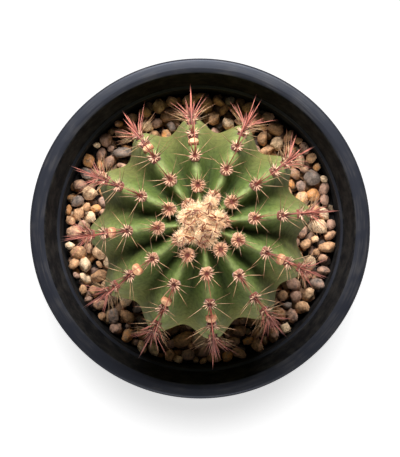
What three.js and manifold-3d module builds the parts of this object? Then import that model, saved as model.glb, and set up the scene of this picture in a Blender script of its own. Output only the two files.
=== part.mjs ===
// A young columnar cactus in a round black plastic pot, top-dressed with gravel.
// Millimetres, +Z up. The origin is on the pot's axis, in the plane that the pot stands on.
import * as THREE from 'three';
import { mergeVertices } from 'three/addons/utils/BufferGeometryUtils.js';
import Module from 'manifold-3d';

const wasm = await Module();
wasm.setup();

// ---------------------------------------------------------------- driving dimensions

const GAP = 0.3; // clearance between pieces that only rest on or in each other

// Pot
const POT_HEIGHT = 130;
const RIM_RADIUS = 75; // outside of the rim
const RIM_INNER_RADIUS = 68.2; // where the top of the rim turns down into the pot
const RIM_SKIRT = 14; // how far the rim's outer skirt hangs down
const RIM_CHAMFER = 1.7; // on both edges of the rim's top
const COLLAR_DEPTH = 17.5; // from the top of the rim down to the ledge inside
const COLLAR_FOOT_RADIUS = 64.4; // inside of the collar just above the ledge
const LEDGE_RADIUS = 62.8; // inner edge of the ledge
const WALL = 1.8;
const FOOT_RADIUS = 50.4; // outside of the pot at its foot
const FOOT_WIDTH = 3.6; // width of the flat ring that the pot stands on
const FLOOR_RAISE = 3; // the floor's underside above the foot ring
const DRAIN_RADIUS = 3.5;
const DRAIN_CIRCLE_RADIUS = 33;
const DRAIN_COUNT = 8; // in a ring, with one more in the middle
const DRAIN_SIDES = 8;
const POT_SIDES = 48;

// Soil and gravel
const SOIL_TOP = 101;
const GRAVEL_BED_TOP = 105.4; // the bed that the top stones are sunk into
const STONE_LEVEL = 108.4; // height of the top stones' flats
const STONE_SPACING = 8.3; // from one stone's centre to the next along a ring
const STONE_RING_SPACING = 7.5;
const STONE_RADIUS = 4.2; // at a stone's foot
const STONE_TOP_SHARE = 0.62; // width of a stone's flat top as a share of its foot
const STONE_HEIGHT = 5.5;
const STONE_SEED = 41;
const STEM_CLEARANCE = 0.55; // between the gravel and the stem
const SOCKET_CLEARANCE = 1.2; // between the soil and the stem's base

// Cactus stem
const STEM_TOP = 225;
const STEM_RADIUS = 46.3; // to the crest of a rib, at the shoulder
const SHOULDER_DEPTH = 58.2; // the crown's dome, from its top down to the widest ring
const DOME_POWER = 2.94; // 2 is an ellipse, more is squarer
const STEM_BASE_RADIUS = 42; // to the crest of a rib, where the stem enters the gravel
const STEM_BASE = 106; // where the stem starts to round in towards its root
const NECK_RADIUS = 14; // top of the tap root
const NECK_LEVEL = 88;
const ROOT_TIP = 50;
const ROOT_SIDES = 12;
const ROOT_OUTLINE = [[1.4, ROOT_TIP], [4, 64], [8, 78], [NECK_RADIUS - 1, NECK_LEVEL - 1]];
const SHOULDER_DISTANCE = 62; // from the growing point, along a rib
const CROWN_OFFSET = [0.7, 2]; // how far the growing point stands off the pot's axis, X and Y
const RIB_COUNT = 12;
const FIRST_RIB = THREE.MathUtils.degToRad(5.7);
const CROWN_FURROW_DEPTH = 8.2; // how deep a grown furrow is on the dome
const SIDE_FURROW_DEPTH = 6; // and from the shoulder down
const DEEP_FURROW_DISTANCE = 30; // where the furrows start to get shallower
const RIB_DEPTH_RUN = 14; // distance from the growing point at which a rib has half its depth

// Where the stem's skin has its points: rings by distance from the growing point, the lowest by height
const RING_DISTANCES = [5, 10, 16, 22, 28, 35, 42, 50, 59, 70, 84, 101, 120];
const BASE_RING_LEVELS = [STEM_BASE, 100, 94];
const POINTS_ACROSS = [-1, -0.45, 0, 0.45]; // across one rib, from furrow to furrow

// Areoles and spines
const AREOLE_SPACING = 12.55; // along a rib
// Distance from the growing point to the first grown areole of each rib, from the first rib round
const FIRST_AREOLE = [8.6, 14.7, 11.6, 15.3, 8.9, 13.9, 17.1, 10.7, 13.4, 6.8, 12.5, 15.8];
const WOOLLY_REACH = 10; // areoles nearer than this to the growing point are still lobes of the crown's wool
const CUSHION_RADIUS = 2.9; // of the felt cushion's foot, sunk in the skin
const CUSHION_DEPTH = 2.4;
const CUSHION_TOP_RADIUS = 1.05; // the ring that the spines spring from
const CUSHION_SHOULDER = 0.8; // height of that ring above the skin
const CUSHION_HEIGHT = 1.7;
const SPINES_PER_AREOLE = 5; // one central, down the rib, and four radial
const CENTRAL_LENGTH = { crown: 8, middle: 18, shoulder: 13, base: 8 };
const RADIAL_LENGTH = { crown: 5, middle: 10.5, shoulder: 9, base: 6.5 };
const CENTRAL_TILT = [36, 46]; // degrees above the skin, lowest and highest
const RADIAL_TILT = [28, 42];
const BEARING_SPREAD = 11; // degrees either way
const SPINE_SPREAD = 0.15; // share by which a spine is longer or shorter than its fellows
const SPINE_SEED = 7;
const LOWEST_AREOLE = 119; // no areole below this height
const LOWEST_SPINE_TIP = 111.5; // spine tips stay above the stones

// Crown wool
const WOOL_RADIUS = 8;
const WOOL_HEIGHT = 4;
const WOOL_LOBE_RADIUS = 3.4;
const WOOL_SPINES = 9;
const WOOL_SPINE_LENGTH = [3.5, 5.5];
const GOLDEN_ANGLE = 2.4; // from one of these spines to the next, in radians

// Scars of dried flower buds, each on the crest just above an areole: [rib, which areole from the crown]
const BUD_SCARS = [[3, 2], [4, 3], [6, 2], [7, 2], [8, 2], [9, 3], [11, 2]];
const BUD_RADIUS = 2.4;
const BUD_OFFSET = 4; // up the rib from the areole

// ---------------------------------------------------------------- helpers

// A seeded random number generator: the same numbers on every run.
function randomFrom(seed) {
  let state = seed >>> 0;
  return () => {
    state = (state + 0x6d2b79f5) >>> 0;
    let t = state;
    t = Math.imul(t ^ (t >>> 15), t | 1);
    t ^= t + Math.imul(t ^ (t >>> 7), t | 61);
    return ((t ^ (t >>> 14)) >>> 0) / 4294967296;
  };
}

const between = (random, low, high) => low + (high - low) * random();

// A closed geometry as a solid for cutting and joining.
function solidOf(geometry) {
  const bare = geometry.index ? geometry.toNonIndexed() : geometry.clone();
  for (const name of Object.keys(bare.attributes)) {
    if (name !== 'position') bare.deleteAttribute(name);
  }
  const merged = mergeVertices(bare, 1e-4);
  const index = [];
  const all = merged.index.array;
  for (let i = 0; i < all.length; i += 3) {
    const [a, b, c] = [all[i], all[i + 1], all[i + 2]];
    if (a !== b && b !== c && c !== a) index.push(a, b, c);
  }
  return new wasm.Manifold(
    new wasm.Mesh({
      numProp: 3,
      vertProperties: new Float32Array(merged.attributes.position.array),
      triVerts: new Uint32Array(index),
    }),
  );
}

function geometryOf(solid) {
  const mesh = solid.getMesh();
  const geometry = new THREE.BufferGeometry();
  geometry.setAttribute('position', new THREE.BufferAttribute(new Float32Array(mesh.vertProperties), 3));
  geometry.setIndex(new THREE.BufferAttribute(new Uint32Array(mesh.triVerts), 1));
  return geometry;
}

// Joins a list of solids pair by pair.
function joined(solids) {
  let list = solids;
  while (list.length > 1) {
    const next = [];
    for (let i = 0; i < list.length; i += 2) {
      next.push(i + 1 < list.length ? list[i].add(list[i + 1]) : list[i]);
    }
    list = next;
  }
  return list[0];
}

// A solid of revolution about Z. The outline runs anticlockwise in the (radius, height) plane.
function turned(outline, sides) {
  const points = outline.map(([r, z]) => new THREE.Vector2(r, z));
  const geometry = new THREE.LatheGeometry(points, sides);
  geometry.rotateX(Math.PI / 2);
  return solidOf(geometry);
}

// ---------------------------------------------------------------- pot

// Inside radius of the pot's wall below the ledge.
const INNER_FLOOR = FLOOR_RAISE + WALL;
const INNER_FLOOR_RADIUS = FOOT_RADIUS - WALL;
const LEDGE_LEVEL = POT_HEIGHT - COLLAR_DEPTH;

function innerRadius(z) {
  const rise = (z - INNER_FLOOR) / (LEDGE_LEVEL - INNER_FLOOR);
  return INNER_FLOOR_RADIUS + (LEDGE_RADIUS - INNER_FLOOR_RADIUS) * rise;
}

function potSolid() {
  const top = POT_HEIGHT;
  const footInner = FOOT_RADIUS - FOOT_WIDTH - 0.8;
  const skirtInner = RIM_RADIUS - WALL;
  const collarOuter = RIM_INNER_RADIUS + WALL;
  const outline = [
    // outside, from the middle of the floor's underside up to the rim
    [0, FLOOR_RAISE],
    [footInner - 1.2, FLOOR_RAISE],
    [footInner, 0],
    [FOOT_RADIUS, 0],
    [LEDGE_RADIUS + WALL, LEDGE_LEVEL - 2.2],
    [COLLAR_FOOT_RADIUS + WALL, LEDGE_LEVEL - 0.3],
    [collarOuter, top - WALL],
    [skirtInner, top - WALL],
    [skirtInner - 0.3, top - RIM_SKIRT],
    [RIM_RADIUS - 0.5, top - RIM_SKIRT],
    [RIM_RADIUS, top - 2],
    [RIM_RADIUS - RIM_CHAMFER, top],
    // over the rim and down inside
    [RIM_INNER_RADIUS + RIM_CHAMFER, top],
    [RIM_INNER_RADIUS, top - RIM_CHAMFER],
    [COLLAR_FOOT_RADIUS, LEDGE_LEVEL + 0.5],
    [LEDGE_RADIUS, LEDGE_LEVEL],
    [INNER_FLOOR_RADIUS, INNER_FLOOR],
    [0, INNER_FLOOR],
  ];
  let pot = turned(outline, POT_SIDES);
  for (let i = 0; i <= DRAIN_COUNT; i += 1) {
    const drill = new THREE.CylinderGeometry(DRAIN_RADIUS, DRAIN_RADIUS, 4 * WALL, DRAIN_SIDES);
    drill.rotateX(Math.PI / 2);
    const angle = (i / DRAIN_COUNT) * 2 * Math.PI;
    const out = i === DRAIN_COUNT ? 0 : DRAIN_CIRCLE_RADIUS; // the last one is the middle one
    drill.translate(out * Math.cos(angle), out * Math.sin(angle), FLOOR_RAISE + WALL / 2);
    pot = pot.subtract(solidOf(drill));
  }
  return pot;
}

// ---------------------------------------------------------------- stem

// The crest of a rib as seen from the side, from the growing point down to the root's neck:
// a dome whose section is a superellipse, a side that narrows a little, and a round base.
function crestOutline() {
  const points = [];
  const exponent = 2 / DOME_POWER;
  const domeSteps = 160;
  for (let i = 0; i <= domeSteps; i += 1) {
    const t = (i / domeSteps) * (Math.PI / 2);
    const drop = SHOULDER_DEPTH * (1 - Math.cos(t) ** exponent);
    points.push([STEM_RADIUS * Math.sin(t) ** exponent, STEM_TOP - drop]);
  }
  points[domeSteps] = [STEM_RADIUS, STEM_TOP - SHOULDER_DEPTH];
  const sideSteps = 40;
  const sideTop = STEM_TOP - SHOULDER_DEPTH;
  for (let i = 1; i <= sideSteps; i += 1) {
    const q = i / sideSteps;
    const narrowed = (STEM_RADIUS - STEM_BASE_RADIUS) * q * q;
    points.push([STEM_RADIUS - narrowed, sideTop + (STEM_BASE - sideTop) * q]);
  }
  const baseSteps = 24;
  for (let i = 1; i <= baseSteps; i += 1) {
    const t = (i / baseSteps) * (Math.PI / 2);
    points.push([
      NECK_RADIUS + (STEM_BASE_RADIUS - NECK_RADIUS) * Math.cos(t),
      STEM_BASE - (STEM_BASE - NECK_LEVEL) * Math.sin(t),
    ]);
  }
  return points;
}

const CREST = crestOutline();
const CREST_LENGTHS = [0];
for (let i = 1; i < CREST.length; i += 1) {
  const [r0, z0] = CREST[i - 1];
  const [r1, z1] = CREST[i];
  CREST_LENGTHS.push(CREST_LENGTHS[i - 1] + Math.hypot(r1 - r0, z1 - z0));
}
const CREST_END = CREST_LENGTHS[CREST_LENGTHS.length - 1];

// Radius, height and outward normal of the crest at a distance s along it from the growing point.
function crestAt(s) {
  const at = Math.min(Math.max(s, 0), CREST_END);
  let i = 1;
  while (i < CREST.length - 1 && CREST_LENGTHS[i] < at) i += 1;
  const share = (at - CREST_LENGTHS[i - 1]) / (CREST_LENGTHS[i] - CREST_LENGTHS[i - 1]);
  const [r0, z0] = CREST[i - 1];
  const [r1, z1] = CREST[i];
  const length = Math.hypot(r1 - r0, z1 - z0);
  return {
    r: r0 + (r1 - r0) * share,
    z: z0 + (z1 - z0) * share,
    nr: (z0 - z1) / length,
    nz: (r1 - r0) / length,
  };
}

// Distance along the crest at which it is at height z, below the shoulder.
function crestDistanceAt(z) {
  let i = CREST.length - 1;
  while (i > 1 && CREST[i - 1][1] < z) i -= 1;
  const share = (CREST[i - 1][1] - z) / (CREST[i - 1][1] - CREST[i][1]);
  return CREST_LENGTHS[i - 1] + share * (CREST_LENGTHS[i] - CREST_LENGTHS[i - 1]);
}

// How deep the furrow is beside the crest: nothing at the growing point, and nothing again in the soil.
function furrowDepth(s, z) {
  const grown = (s * s) / (s * s + RIB_DEPTH_RUN * RIB_DEPTH_RUN);
  const side = THREE.MathUtils.smoothstep(s, DEEP_FURROW_DISTANCE, SHOULDER_DISTANCE);
  const fade = THREE.MathUtils.smoothstep(z, NECK_LEVEL + 4, STEM_BASE);
  return THREE.MathUtils.lerp(CROWN_FURROW_DEPTH, SIDE_FURROW_DEPTH, side) * grown * fade;
}

// Height of a rib across its width: 1 at the crest (across = 0) and 0 in the furrow (across = 1 or -1).
function ribShape(across) {
  return 0.5 * (1 + Math.cos(Math.PI * across));
}

// A point of the stem's skin: angle of its rib, distance s down the rib, and clear of the skin by lift.
// All ribs spring from the growing point, beside the pot's axis. The shoulder and sides stand round that axis.
function skinPoint(angle, across, s, lift) {
  const crest = crestAt(s);
  const inward = furrowDepth(s, crest.z) * (1 - ribShape(across)) - lift;
  const r = Math.max(crest.r - crest.nr * inward, 0);
  const z = crest.z - crest.nz * inward;
  const upright = THREE.MathUtils.smoothstep(z, NECK_LEVEL, STEM_BASE);
  const [dx, dy] = CROWN_OFFSET.map((offset) => offset * upright);
  const centred = THREE.MathUtils.smoothstep(s, 0, SHOULDER_DISTANCE);
  const reach = r - centred * (dx * Math.cos(angle) + dy * Math.sin(angle));
  return new THREE.Vector3(reach * Math.cos(angle) + dx, reach * Math.sin(angle) + dy, z);
}

// Radius of the stem's skin at an angle round the pot's axis and a height below the shoulder.
function stemRadiusAt(angle, z) {
  const s = crestDistanceAt(z);
  const crest = crestAt(s);
  const [dx, dy] = CROWN_OFFSET;
  const swing = (dy * Math.cos(angle) - dx * Math.sin(angle)) / crest.r; // seen from the growing point
  const turn = ((angle - swing - FIRST_RIB) * RIB_COUNT) / (2 * Math.PI);
  return crest.r - furrowDepth(s, z) * (1 - ribShape(2 * (turn - Math.round(turn))));
}

// The ribbed stem from the growing point down to the neck, as rings of points joined by quads.
function stemSolid(lift) {
  const rows = RING_DISTANCES.concat(BASE_RING_LEVELS.map(crestDistanceAt), [CREST_END]);
  const halfRib = Math.PI / RIB_COUNT;
  const positions = [];
  const put = (p) => positions.push(p.x, p.y, p.z);
  for (const s of rows) {
    for (let rib = 0; rib < RIB_COUNT; rib += 1) {
      for (const across of POINTS_ACROSS) {
        const angle = FIRST_RIB + 2 * halfRib * rib + halfRib * across;
        put(skinPoint(angle, across, s, lift));
      }
    }
  }
  const columns = RIB_COUNT * POINTS_ACROSS.length;
  const top = positions.length / 3;
  put(skinPoint(0, 0, 0, lift));
  const bottom = top + 1;
  put(new THREE.Vector3(0, 0, NECK_LEVEL - lift));
  const index = [];
  for (let c = 0; c < columns; c += 1) {
    const next = (c + 1) % columns;
    index.push(top, c, next);
    for (let row = 0; row + 1 < rows.length; row += 1) {
      const a = row * columns + c;
      const b = row * columns + next;
      index.push(a, a + columns, b, b, a + columns, b + columns);
    }
    const last = (rows.length - 1) * columns;
    index.push(bottom, last + next, last + c);
  }
  const geometry = new THREE.BufferGeometry();
  geometry.setAttribute('position', new THREE.Float32BufferAttribute(positions, 3));
  geometry.setIndex(index);
  return solidOf(geometry);
}

// The tap root, sunk into the stem's neck. With lift it is the hole that the root stands in.
function rootSolid(lift) {
  const sunk = NECK_LEVEL + 3;
  const outline = [
    [0, ROOT_TIP - lift],
    [ROOT_OUTLINE[0][0] + lift, ROOT_TIP - lift],
    ...ROOT_OUTLINE.slice(1).map(([r, z]) => [r + lift, z]),
    [NECK_RADIUS - 1 + lift, sunk],
    [0, sunk],
  ];
  return turned(outline, ROOT_SIDES);
}

// ---------------------------------------------------------------- areoles and spines

// The areoles of one rib, from its youngest down, each with its own upright frame:
// out is away from the skin, up is along the rib towards the crown, and side is across the rib.
function areolesOf(rib) {
  const angle = FIRST_RIB + (2 * Math.PI * rib) / RIB_COUNT;
  const found = [];
  for (let s = FIRST_AREOLE[rib]; crestAt(s).z > LOWEST_AREOLE; s += AREOLE_SPACING) {
    const crest = crestAt(s);
    const radial = new THREE.Vector3(Math.cos(angle), Math.sin(angle), 0);
    const out = radial.clone().multiplyScalar(crest.nr).setZ(crest.nz).normalize();
    const up = radial.clone().multiplyScalar(-crest.nz).setZ(crest.nr).normalize();
    found.push({ s, at: skinPoint(angle, 0, s, 0), out, up, side: up.clone().cross(out) });
  }
  return found;
}

// Direction in an areole's frame: tilt above the skin, and bearing from straight down the rib.
function directionAt(areole, tilt, bearing) {
  const along = areole.up.clone().multiplyScalar(-Math.cos(bearing));
  along.addScaledVector(areole.side, Math.sin(bearing));
  return along.multiplyScalar(Math.cos(tilt)).addScaledVector(areole.out, Math.sin(tilt));
}

// A value that changes from the crown over the middle and the shoulder to the base of the stem.
function alongStem(s, { crown, middle, shoulder, base }) {
  const { lerp, smoothstep } = THREE.MathUtils;
  const young = lerp(crown, middle, smoothstep(s, 8, 34));
  const grown = lerp(young, shoulder, smoothstep(s, 48, 76));
  return lerp(grown, base, smoothstep(s, 80, 112));
}

// Turns a direction up until its tip is clear of the gravel.
function clearOfGravel(from, direction, length) {
  const low = (LOWEST_SPINE_TIP - from.z) / length;
  if (direction.z >= low) return direction;
  const flat = Math.sqrt(1 - low * low) / Math.hypot(direction.x, direction.y);
  return new THREE.Vector3(direction.x * flat, direction.y * flat, low);
}

// The tip of each of an areole's spines. The first is the long central one, down the rib.
function spineTips(areole, random) {
  const { degToRad } = THREE.MathUtils;
  const tips = [];
  for (let i = 0; i < SPINES_PER_AREOLE; i += 1) {
    const lengths = i === 0 ? CENTRAL_LENGTH : RADIAL_LENGTH;
    const length = alongStem(areole.s, lengths) * between(random, 1 - SPINE_SPREAD, 1 + SPINE_SPREAD);
    const bearing = (i / SPINES_PER_AREOLE) * 360 + between(random, -BEARING_SPREAD, BEARING_SPREAD);
    const tilt = between(random, ...(i === 0 ? CENTRAL_TILT : RADIAL_TILT));
    const from = areole.at.clone().addScaledVector(areole.out, CUSHION_SHOULDER);
    const direction = clearOfGravel(from, directionAt(areole, degToRad(tilt), degToRad(bearing)), length);
    tips.push(from.addScaledVector(direction, length));
  }
  return tips;
}

// A felt cushion sunk into the crest, with a three-sided spine drawn out of each face of its top.
function cushionWithSpines(areole, random) {
  const n = SPINES_PER_AREOLE;
  const positions = [];
  const put = (p) => positions.push(p.x, p.y, p.z);
  const ring = (radius, height) => {
    for (let i = 0; i < n; i += 1) {
      const outward = directionAt(areole, 0, ((i - 0.5) / n) * 2 * Math.PI);
      put(areole.at.clone().addScaledVector(outward, radius).addScaledVector(areole.out, height));
    }
  };
  ring(CUSHION_RADIUS, -CUSHION_DEPTH);
  ring(CUSHION_TOP_RADIUS, CUSHION_SHOULDER);
  put(areole.at.clone().addScaledVector(areole.out, -CUSHION_DEPTH));
  put(areole.at.clone().addScaledVector(areole.out, CUSHION_HEIGHT));
  spineTips(areole, random).forEach(put);
  const under = 2 * n;
  const peak = under + 1;
  const index = [];
  for (let i = 0; i < n; i += 1) {
    const next = (i + 1) % n;
    const tip = peak + 1 + i;
    index.push(under, next, i);
    index.push(i, next, n + next, i, n + next, n + i);
    index.push(n + i, n + next, tip, n + next, peak, tip, peak, n + i, tip);
  }
  const geometry = new THREE.BufferGeometry();
  geometry.setAttribute('position', new THREE.Float32BufferAttribute(positions, 3));
  geometry.setIndex(index);
  return solidOf(geometry);
}

// The scar of a dried flower bud, a low knob astride the crest.
function budScar(areole) {
  const knob = new THREE.OctahedronGeometry(BUD_RADIUS, 0);
  const { side, out, up } = areole;
  knob.applyMatrix4(new THREE.Matrix4().makeBasis(side, out, up.clone().negate()));
  const at = areole.at.clone().addScaledVector(up, BUD_OFFSET).addScaledVector(out, -0.6);
  knob.translate(at.x, at.y, at.z);
  return solidOf(knob);
}

// ---------------------------------------------------------------- crown wool

// A three-sided needle from a point, sunk in behind it.
function needle(from, direction, length, radius) {
  const sunk = 0.9;
  const cone = new THREE.ConeGeometry(radius, length + sunk, 3);
  cone.translate(0, (length + sunk) / 2 - sunk, 0);
  cone.applyQuaternion(new THREE.Quaternion().setFromUnitVectors(new THREE.Vector3(0, 1, 0), direction));
  cone.translate(from.x, from.y, from.z);
  return solidOf(cone);
}

// The felted cap on the growing point, a lobe for each areole that is still in it, and their first spines.
function crownWool(random) {
  const apex = skinPoint(0, 0, 0, 0);
  const cap = new THREE.IcosahedronGeometry(WOOL_RADIUS, 1);
  cap.scale(1, 1, WOOL_HEIGHT / WOOL_RADIUS);
  cap.translate(apex.x, apex.y, apex.z);
  const solids = [solidOf(cap)];
  for (let rib = 0; rib < RIB_COUNT; rib += 1) {
    const [youngest] = areolesOf(rib);
    if (youngest.s < WOOLLY_REACH) {
      const lobe = new THREE.IcosahedronGeometry(WOOL_LOBE_RADIUS, 0);
      lobe.translate(youngest.at.x, youngest.at.y, youngest.at.z);
      solids.push(solidOf(lobe));
    }
  }
  for (let i = 0; i < WOOL_SPINES; i += 1) {
    const angle = i * GOLDEN_ANGLE;
    const out = (WOOL_RADIUS - 1.5) * Math.sqrt((i + 0.5) / WOOL_SPINES);
    const lean = between(random, 0.25, 0.6);
    const from = new THREE.Vector3(
      apex.x + out * Math.cos(angle),
      apex.y + out * Math.sin(angle),
      apex.z + WOOL_HEIGHT * Math.sqrt(1 - (out / WOOL_RADIUS) ** 2) - 0.6,
    );
    const direction = new THREE.Vector3(-Math.sin(angle) * lean, Math.cos(angle) * lean, 1).normalize();
    solids.push(needle(from, direction, between(random, ...WOOL_SPINE_LENGTH), 0.5));
  }
  return solids;
}

// The whole plant, which grew as one piece.
function cactusSolid() {
  const random = randomFrom(SPINE_SEED);
  const solids = [stemSolid(0), rootSolid(0), ...crownWool(random)];
  for (let rib = 0; rib < RIB_COUNT; rib += 1) {
    const areoles = areolesOf(rib);
    for (const areole of areoles) {
      if (areole.s >= WOOLLY_REACH) solids.push(cushionWithSpines(areole, random));
    }
    for (const [, order] of BUD_SCARS.filter(([on]) => on === rib)) solids.push(budScar(areoles[order]));
  }
  return joined(solids);
}

// ---------------------------------------------------------------- soil and gravel

function soilSolid() {
  const floor = INNER_FLOOR + GAP;
  const clear = SOCKET_CLEARANCE;
  const mouth = crestAt(crestDistanceAt(SOIL_TOP)).r + clear;
  const soil = turned(
    [
      [0, floor],
      [INNER_FLOOR_RADIUS - 0.8 - GAP, floor],
      [innerRadius(floor + 1) - GAP - 0.2, floor + 1],
      [innerRadius(SOIL_TOP) - GAP - 0.1, SOIL_TOP],
      [0, SOIL_TOP],
    ],
    POT_SIDES,
  );
  const socket = turned(
    [
      [0, NECK_LEVEL - clear],
      [NECK_RADIUS + 4 * clear, NECK_LEVEL - clear],
      [crestAt(crestDistanceAt(NECK_LEVEL + 6)).r + 2 * clear, NECK_LEVEL + 6],
      [mouth, SOIL_TOP],
      [mouth, SOIL_TOP + 5],
      [0, SOIL_TOP + 5],
    ],
    POT_SIDES / 2,
  );
  return soil.subtract(socket).subtract(rootSolid(GAP + 0.1));
}

// One worn stone with few sides, standing in the bed.
function stone(random, x, y, z) {
  const sides = random() < 0.5 ? 5 : 6;
  const topRadius = STONE_RADIUS * STONE_TOP_SHARE;
  const geometry = new THREE.CylinderGeometry(topRadius, STONE_RADIUS, STONE_HEIGHT, sides);
  geometry.rotateX(Math.PI / 2);
  geometry.scale(between(random, 0.88, 1.0), between(random, 0.78, 0.95), 1);
  geometry.rotateX(between(random, -0.2, 0.2));
  geometry.rotateZ(between(random, 0, 2 * Math.PI));
  geometry.translate(x, y, z - STONE_HEIGHT / 2);
  return solidOf(geometry);
}

// A bed of gravel with stones sunk into it, laid in rings round the stem.
function gravelSolid(stemClear) {
  const random = randomFrom(STONE_SEED);
  const bottom = SOIL_TOP + GAP;
  const outer = (z) => innerRadius(z) - GAP - 0.1;
  const bed = turned(
    [
      [0, bottom],
      [outer(bottom), bottom],
      [outer(GRAVEL_BED_TOP), GRAVEL_BED_TOP],
      [0, GRAVEL_BED_TOP],
    ],
    POT_SIDES,
  );
  const stones = [bed];
  const outermost = outer(GRAVEL_BED_TOP) - STONE_RADIUS * 0.95;
  for (let ring = outermost; ring > STEM_BASE_RADIUS - SIDE_FURROW_DEPTH; ring -= STONE_RING_SPACING) {
    const count = Math.round((2 * Math.PI * ring) / STONE_SPACING);
    for (let i = 0; i < count; i += 1) {
      const angle = ((i + between(random, -0.15, 0.15)) / count) * 2 * Math.PI + ring;
      const out = ring - between(random, 0, 0.8);
      const level = STONE_LEVEL + between(random, -0.8, 0.8);
      if (out > stemRadiusAt(angle, STONE_LEVEL) + 1) {
        stones.push(stone(random, out * Math.cos(angle), out * Math.sin(angle), level));
      }
    }
  }
  return joined(stones).subtract(stemClear);
}

// ---------------------------------------------------------------- the object

function material(color, roughness) {
  return new THREE.MeshStandardMaterial({ color, roughness, metalness: 0 });
}

function named(name, solid, finish) {
  const mesh = new THREE.Mesh(geometryOf(solid), finish);
  mesh.name = name;
  return mesh;
}

const stemClear = stemSolid(STEM_CLEARANCE);
const object = new THREE.Group();
object.add(
  named('pot', potSolid(), material(0x2b2b30, 0.45)),
  named('soil', soilSolid(), material(0x3a2c22, 0.95)),
  named('gravel', gravelSolid(stemClear), material(0xa98f74, 0.85)),
  named('cactus', cactusSolid(), material(0x5f7f42, 0.55)),
);

export default object;
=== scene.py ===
"""A potted columnar cactus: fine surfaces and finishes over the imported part, in metres with +Z up."""

import math

import bpy
import numpy as np
from bpy.props import FloatProperty, FloatVectorProperty, IntProperty, PointerProperty
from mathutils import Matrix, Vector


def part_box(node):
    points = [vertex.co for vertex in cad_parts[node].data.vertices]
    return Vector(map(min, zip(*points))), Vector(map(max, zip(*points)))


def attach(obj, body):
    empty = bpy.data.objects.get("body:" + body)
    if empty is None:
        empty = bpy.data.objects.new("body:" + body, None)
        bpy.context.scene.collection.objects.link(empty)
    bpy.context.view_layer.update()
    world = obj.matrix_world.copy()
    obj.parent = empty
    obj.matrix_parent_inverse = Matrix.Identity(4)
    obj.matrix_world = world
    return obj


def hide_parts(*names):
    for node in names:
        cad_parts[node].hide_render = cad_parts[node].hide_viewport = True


bl_info = {
    "name": "Potted columnar cactus",
    "version": (1, 0, 0),
    "blender": (4, 5, 0),
    "location": "3D View > Sidebar > Cactus",
    "description": "Builds a ribbed cactus in a round nursery pot with a gravel top dressing",
    "category": "Add Mesh",
}

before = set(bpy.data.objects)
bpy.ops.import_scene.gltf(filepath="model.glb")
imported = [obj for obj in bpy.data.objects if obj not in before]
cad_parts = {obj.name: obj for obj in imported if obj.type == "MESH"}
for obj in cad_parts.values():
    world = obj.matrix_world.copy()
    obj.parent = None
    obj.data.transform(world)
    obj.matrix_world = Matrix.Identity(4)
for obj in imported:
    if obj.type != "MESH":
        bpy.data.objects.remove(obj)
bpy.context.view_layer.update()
MM = 0.001
TURN = 2 * math.pi
GOLDEN_ANGLE = 2.4  # radians

# ---------------------------------------------------------------- driving sizes

# Pot
RIM_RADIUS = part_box("pot")[1].x
POT_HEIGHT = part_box("pot")[1].z
RIM_INNER_RADIUS = 68.2 * MM
RIM_SKIRT = 14 * MM
LEDGE_LEVEL = POT_HEIGHT - 17.5 * MM
COLLAR_FOOT_RADIUS = 64.4 * MM
LEDGE_RADIUS = 62.8 * MM
WALL = 1.8 * MM
FOOT_RADIUS = 50.4 * MM
FOOT_WIDTH = 3.6 * MM
FLOOR_RAISE = 3 * MM
DRAIN_RADIUS = 3.5 * MM
DRAIN_CIRCLE_RADIUS = 33 * MM
DRAIN_COUNT = 8
SHARP_ANGLE = math.radians(40)  # edges turned less than this are shaded round

# Stem: the crest of a rib is a superellipse dome, a side that narrows and a round base
STEM_TOP = 225 * MM
STEM_RADIUS = 46.3 * MM
SHOULDER_DEPTH = 58.2 * MM
DOME_POWER = 2.94
STEM_BASE_RADIUS = 42 * MM
STEM_BASE = 106 * MM
NECK_RADIUS = 14 * MM
NECK_LEVEL = 88 * MM
ROOT_OUTLINE = [(8 * MM, 78 * MM), (4 * MM, 64 * MM), (1.4 * MM, 50.5 * MM)]
ROOT_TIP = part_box("cactus")[0].z
SHOULDER_DISTANCE = 62 * MM
CROWN_OFFSET = (0.7 * MM, 2 * MM)
RIB_COUNT = 12
FIRST_RIB = math.radians(5.7)
RIB_DEPTH_RUN = 14 * MM
DEEP_FURROW_DISTANCE = 30 * MM

# Areoles
AREOLE_SPACING = 12.55 * MM
FIRST_AREOLE = [d * MM for d in (8.6, 14.7, 11.6, 15.3, 8.9, 13.9, 17.1, 10.7, 13.4, 6.8, 12.5, 15.8)]
LOWEST_AREOLE = 119 * MM
LOWEST_SPINE_TIP = 111 * MM
BUD_SCARS = [(3, 2), (4, 3), (6, 2), (7, 2), (8, 2), (9, 3), (11, 2)]  # (rib, which areole from the crown)
BUD_OFFSET = 4 * MM

# Gravel
BED_LEVEL = 103 * MM
STONE_LEVEL = 106.8 * MM
GRAVEL_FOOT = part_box("gravel")[0].z
WALL_GAP = 0.4 * MM  # between the gravel and the pot

# Rows and columns of points on the pot and the stem
POT_COLUMNS = 192
STEM_COLUMNS = RIB_COUNT * 24
STEM_ROWS = 190
ROOT_ROWS = 24

# Stage
FLOOR_HALF_WIDTH = 3.0
LIGHT_DISTANCE = 1.3
LIGHT_AIM_HEIGHT = 0.15
LIGHT_LENGTH = 1.0
LIGHT_WIDTH = 0.35
FILL_ELEVATION = 30  # degrees
FLOOR_LIGHT_SPREAD = math.radians(10)
FLOOR_LIGHT_TILT = math.radians(11.3)


def linear(hex_colour):
    """An sRGB hex colour as linear red, green and blue."""
    srgb = np.array([int(hex_colour[i : i + 2], 16) / 255 for i in (1, 3, 5)])
    return tuple(np.where(srgb <= 0.04045, srgb / 12.92, ((srgb + 0.055) / 1.055) ** 2.4).tolist())


# ---------------------------------------------------------------- settings


def size(name, description, default):
    """A length that a user can change, in metres."""
    return FloatProperty(
        name=name, description=description, default=default, min=0, unit="LENGTH", precision=4
    )


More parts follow.
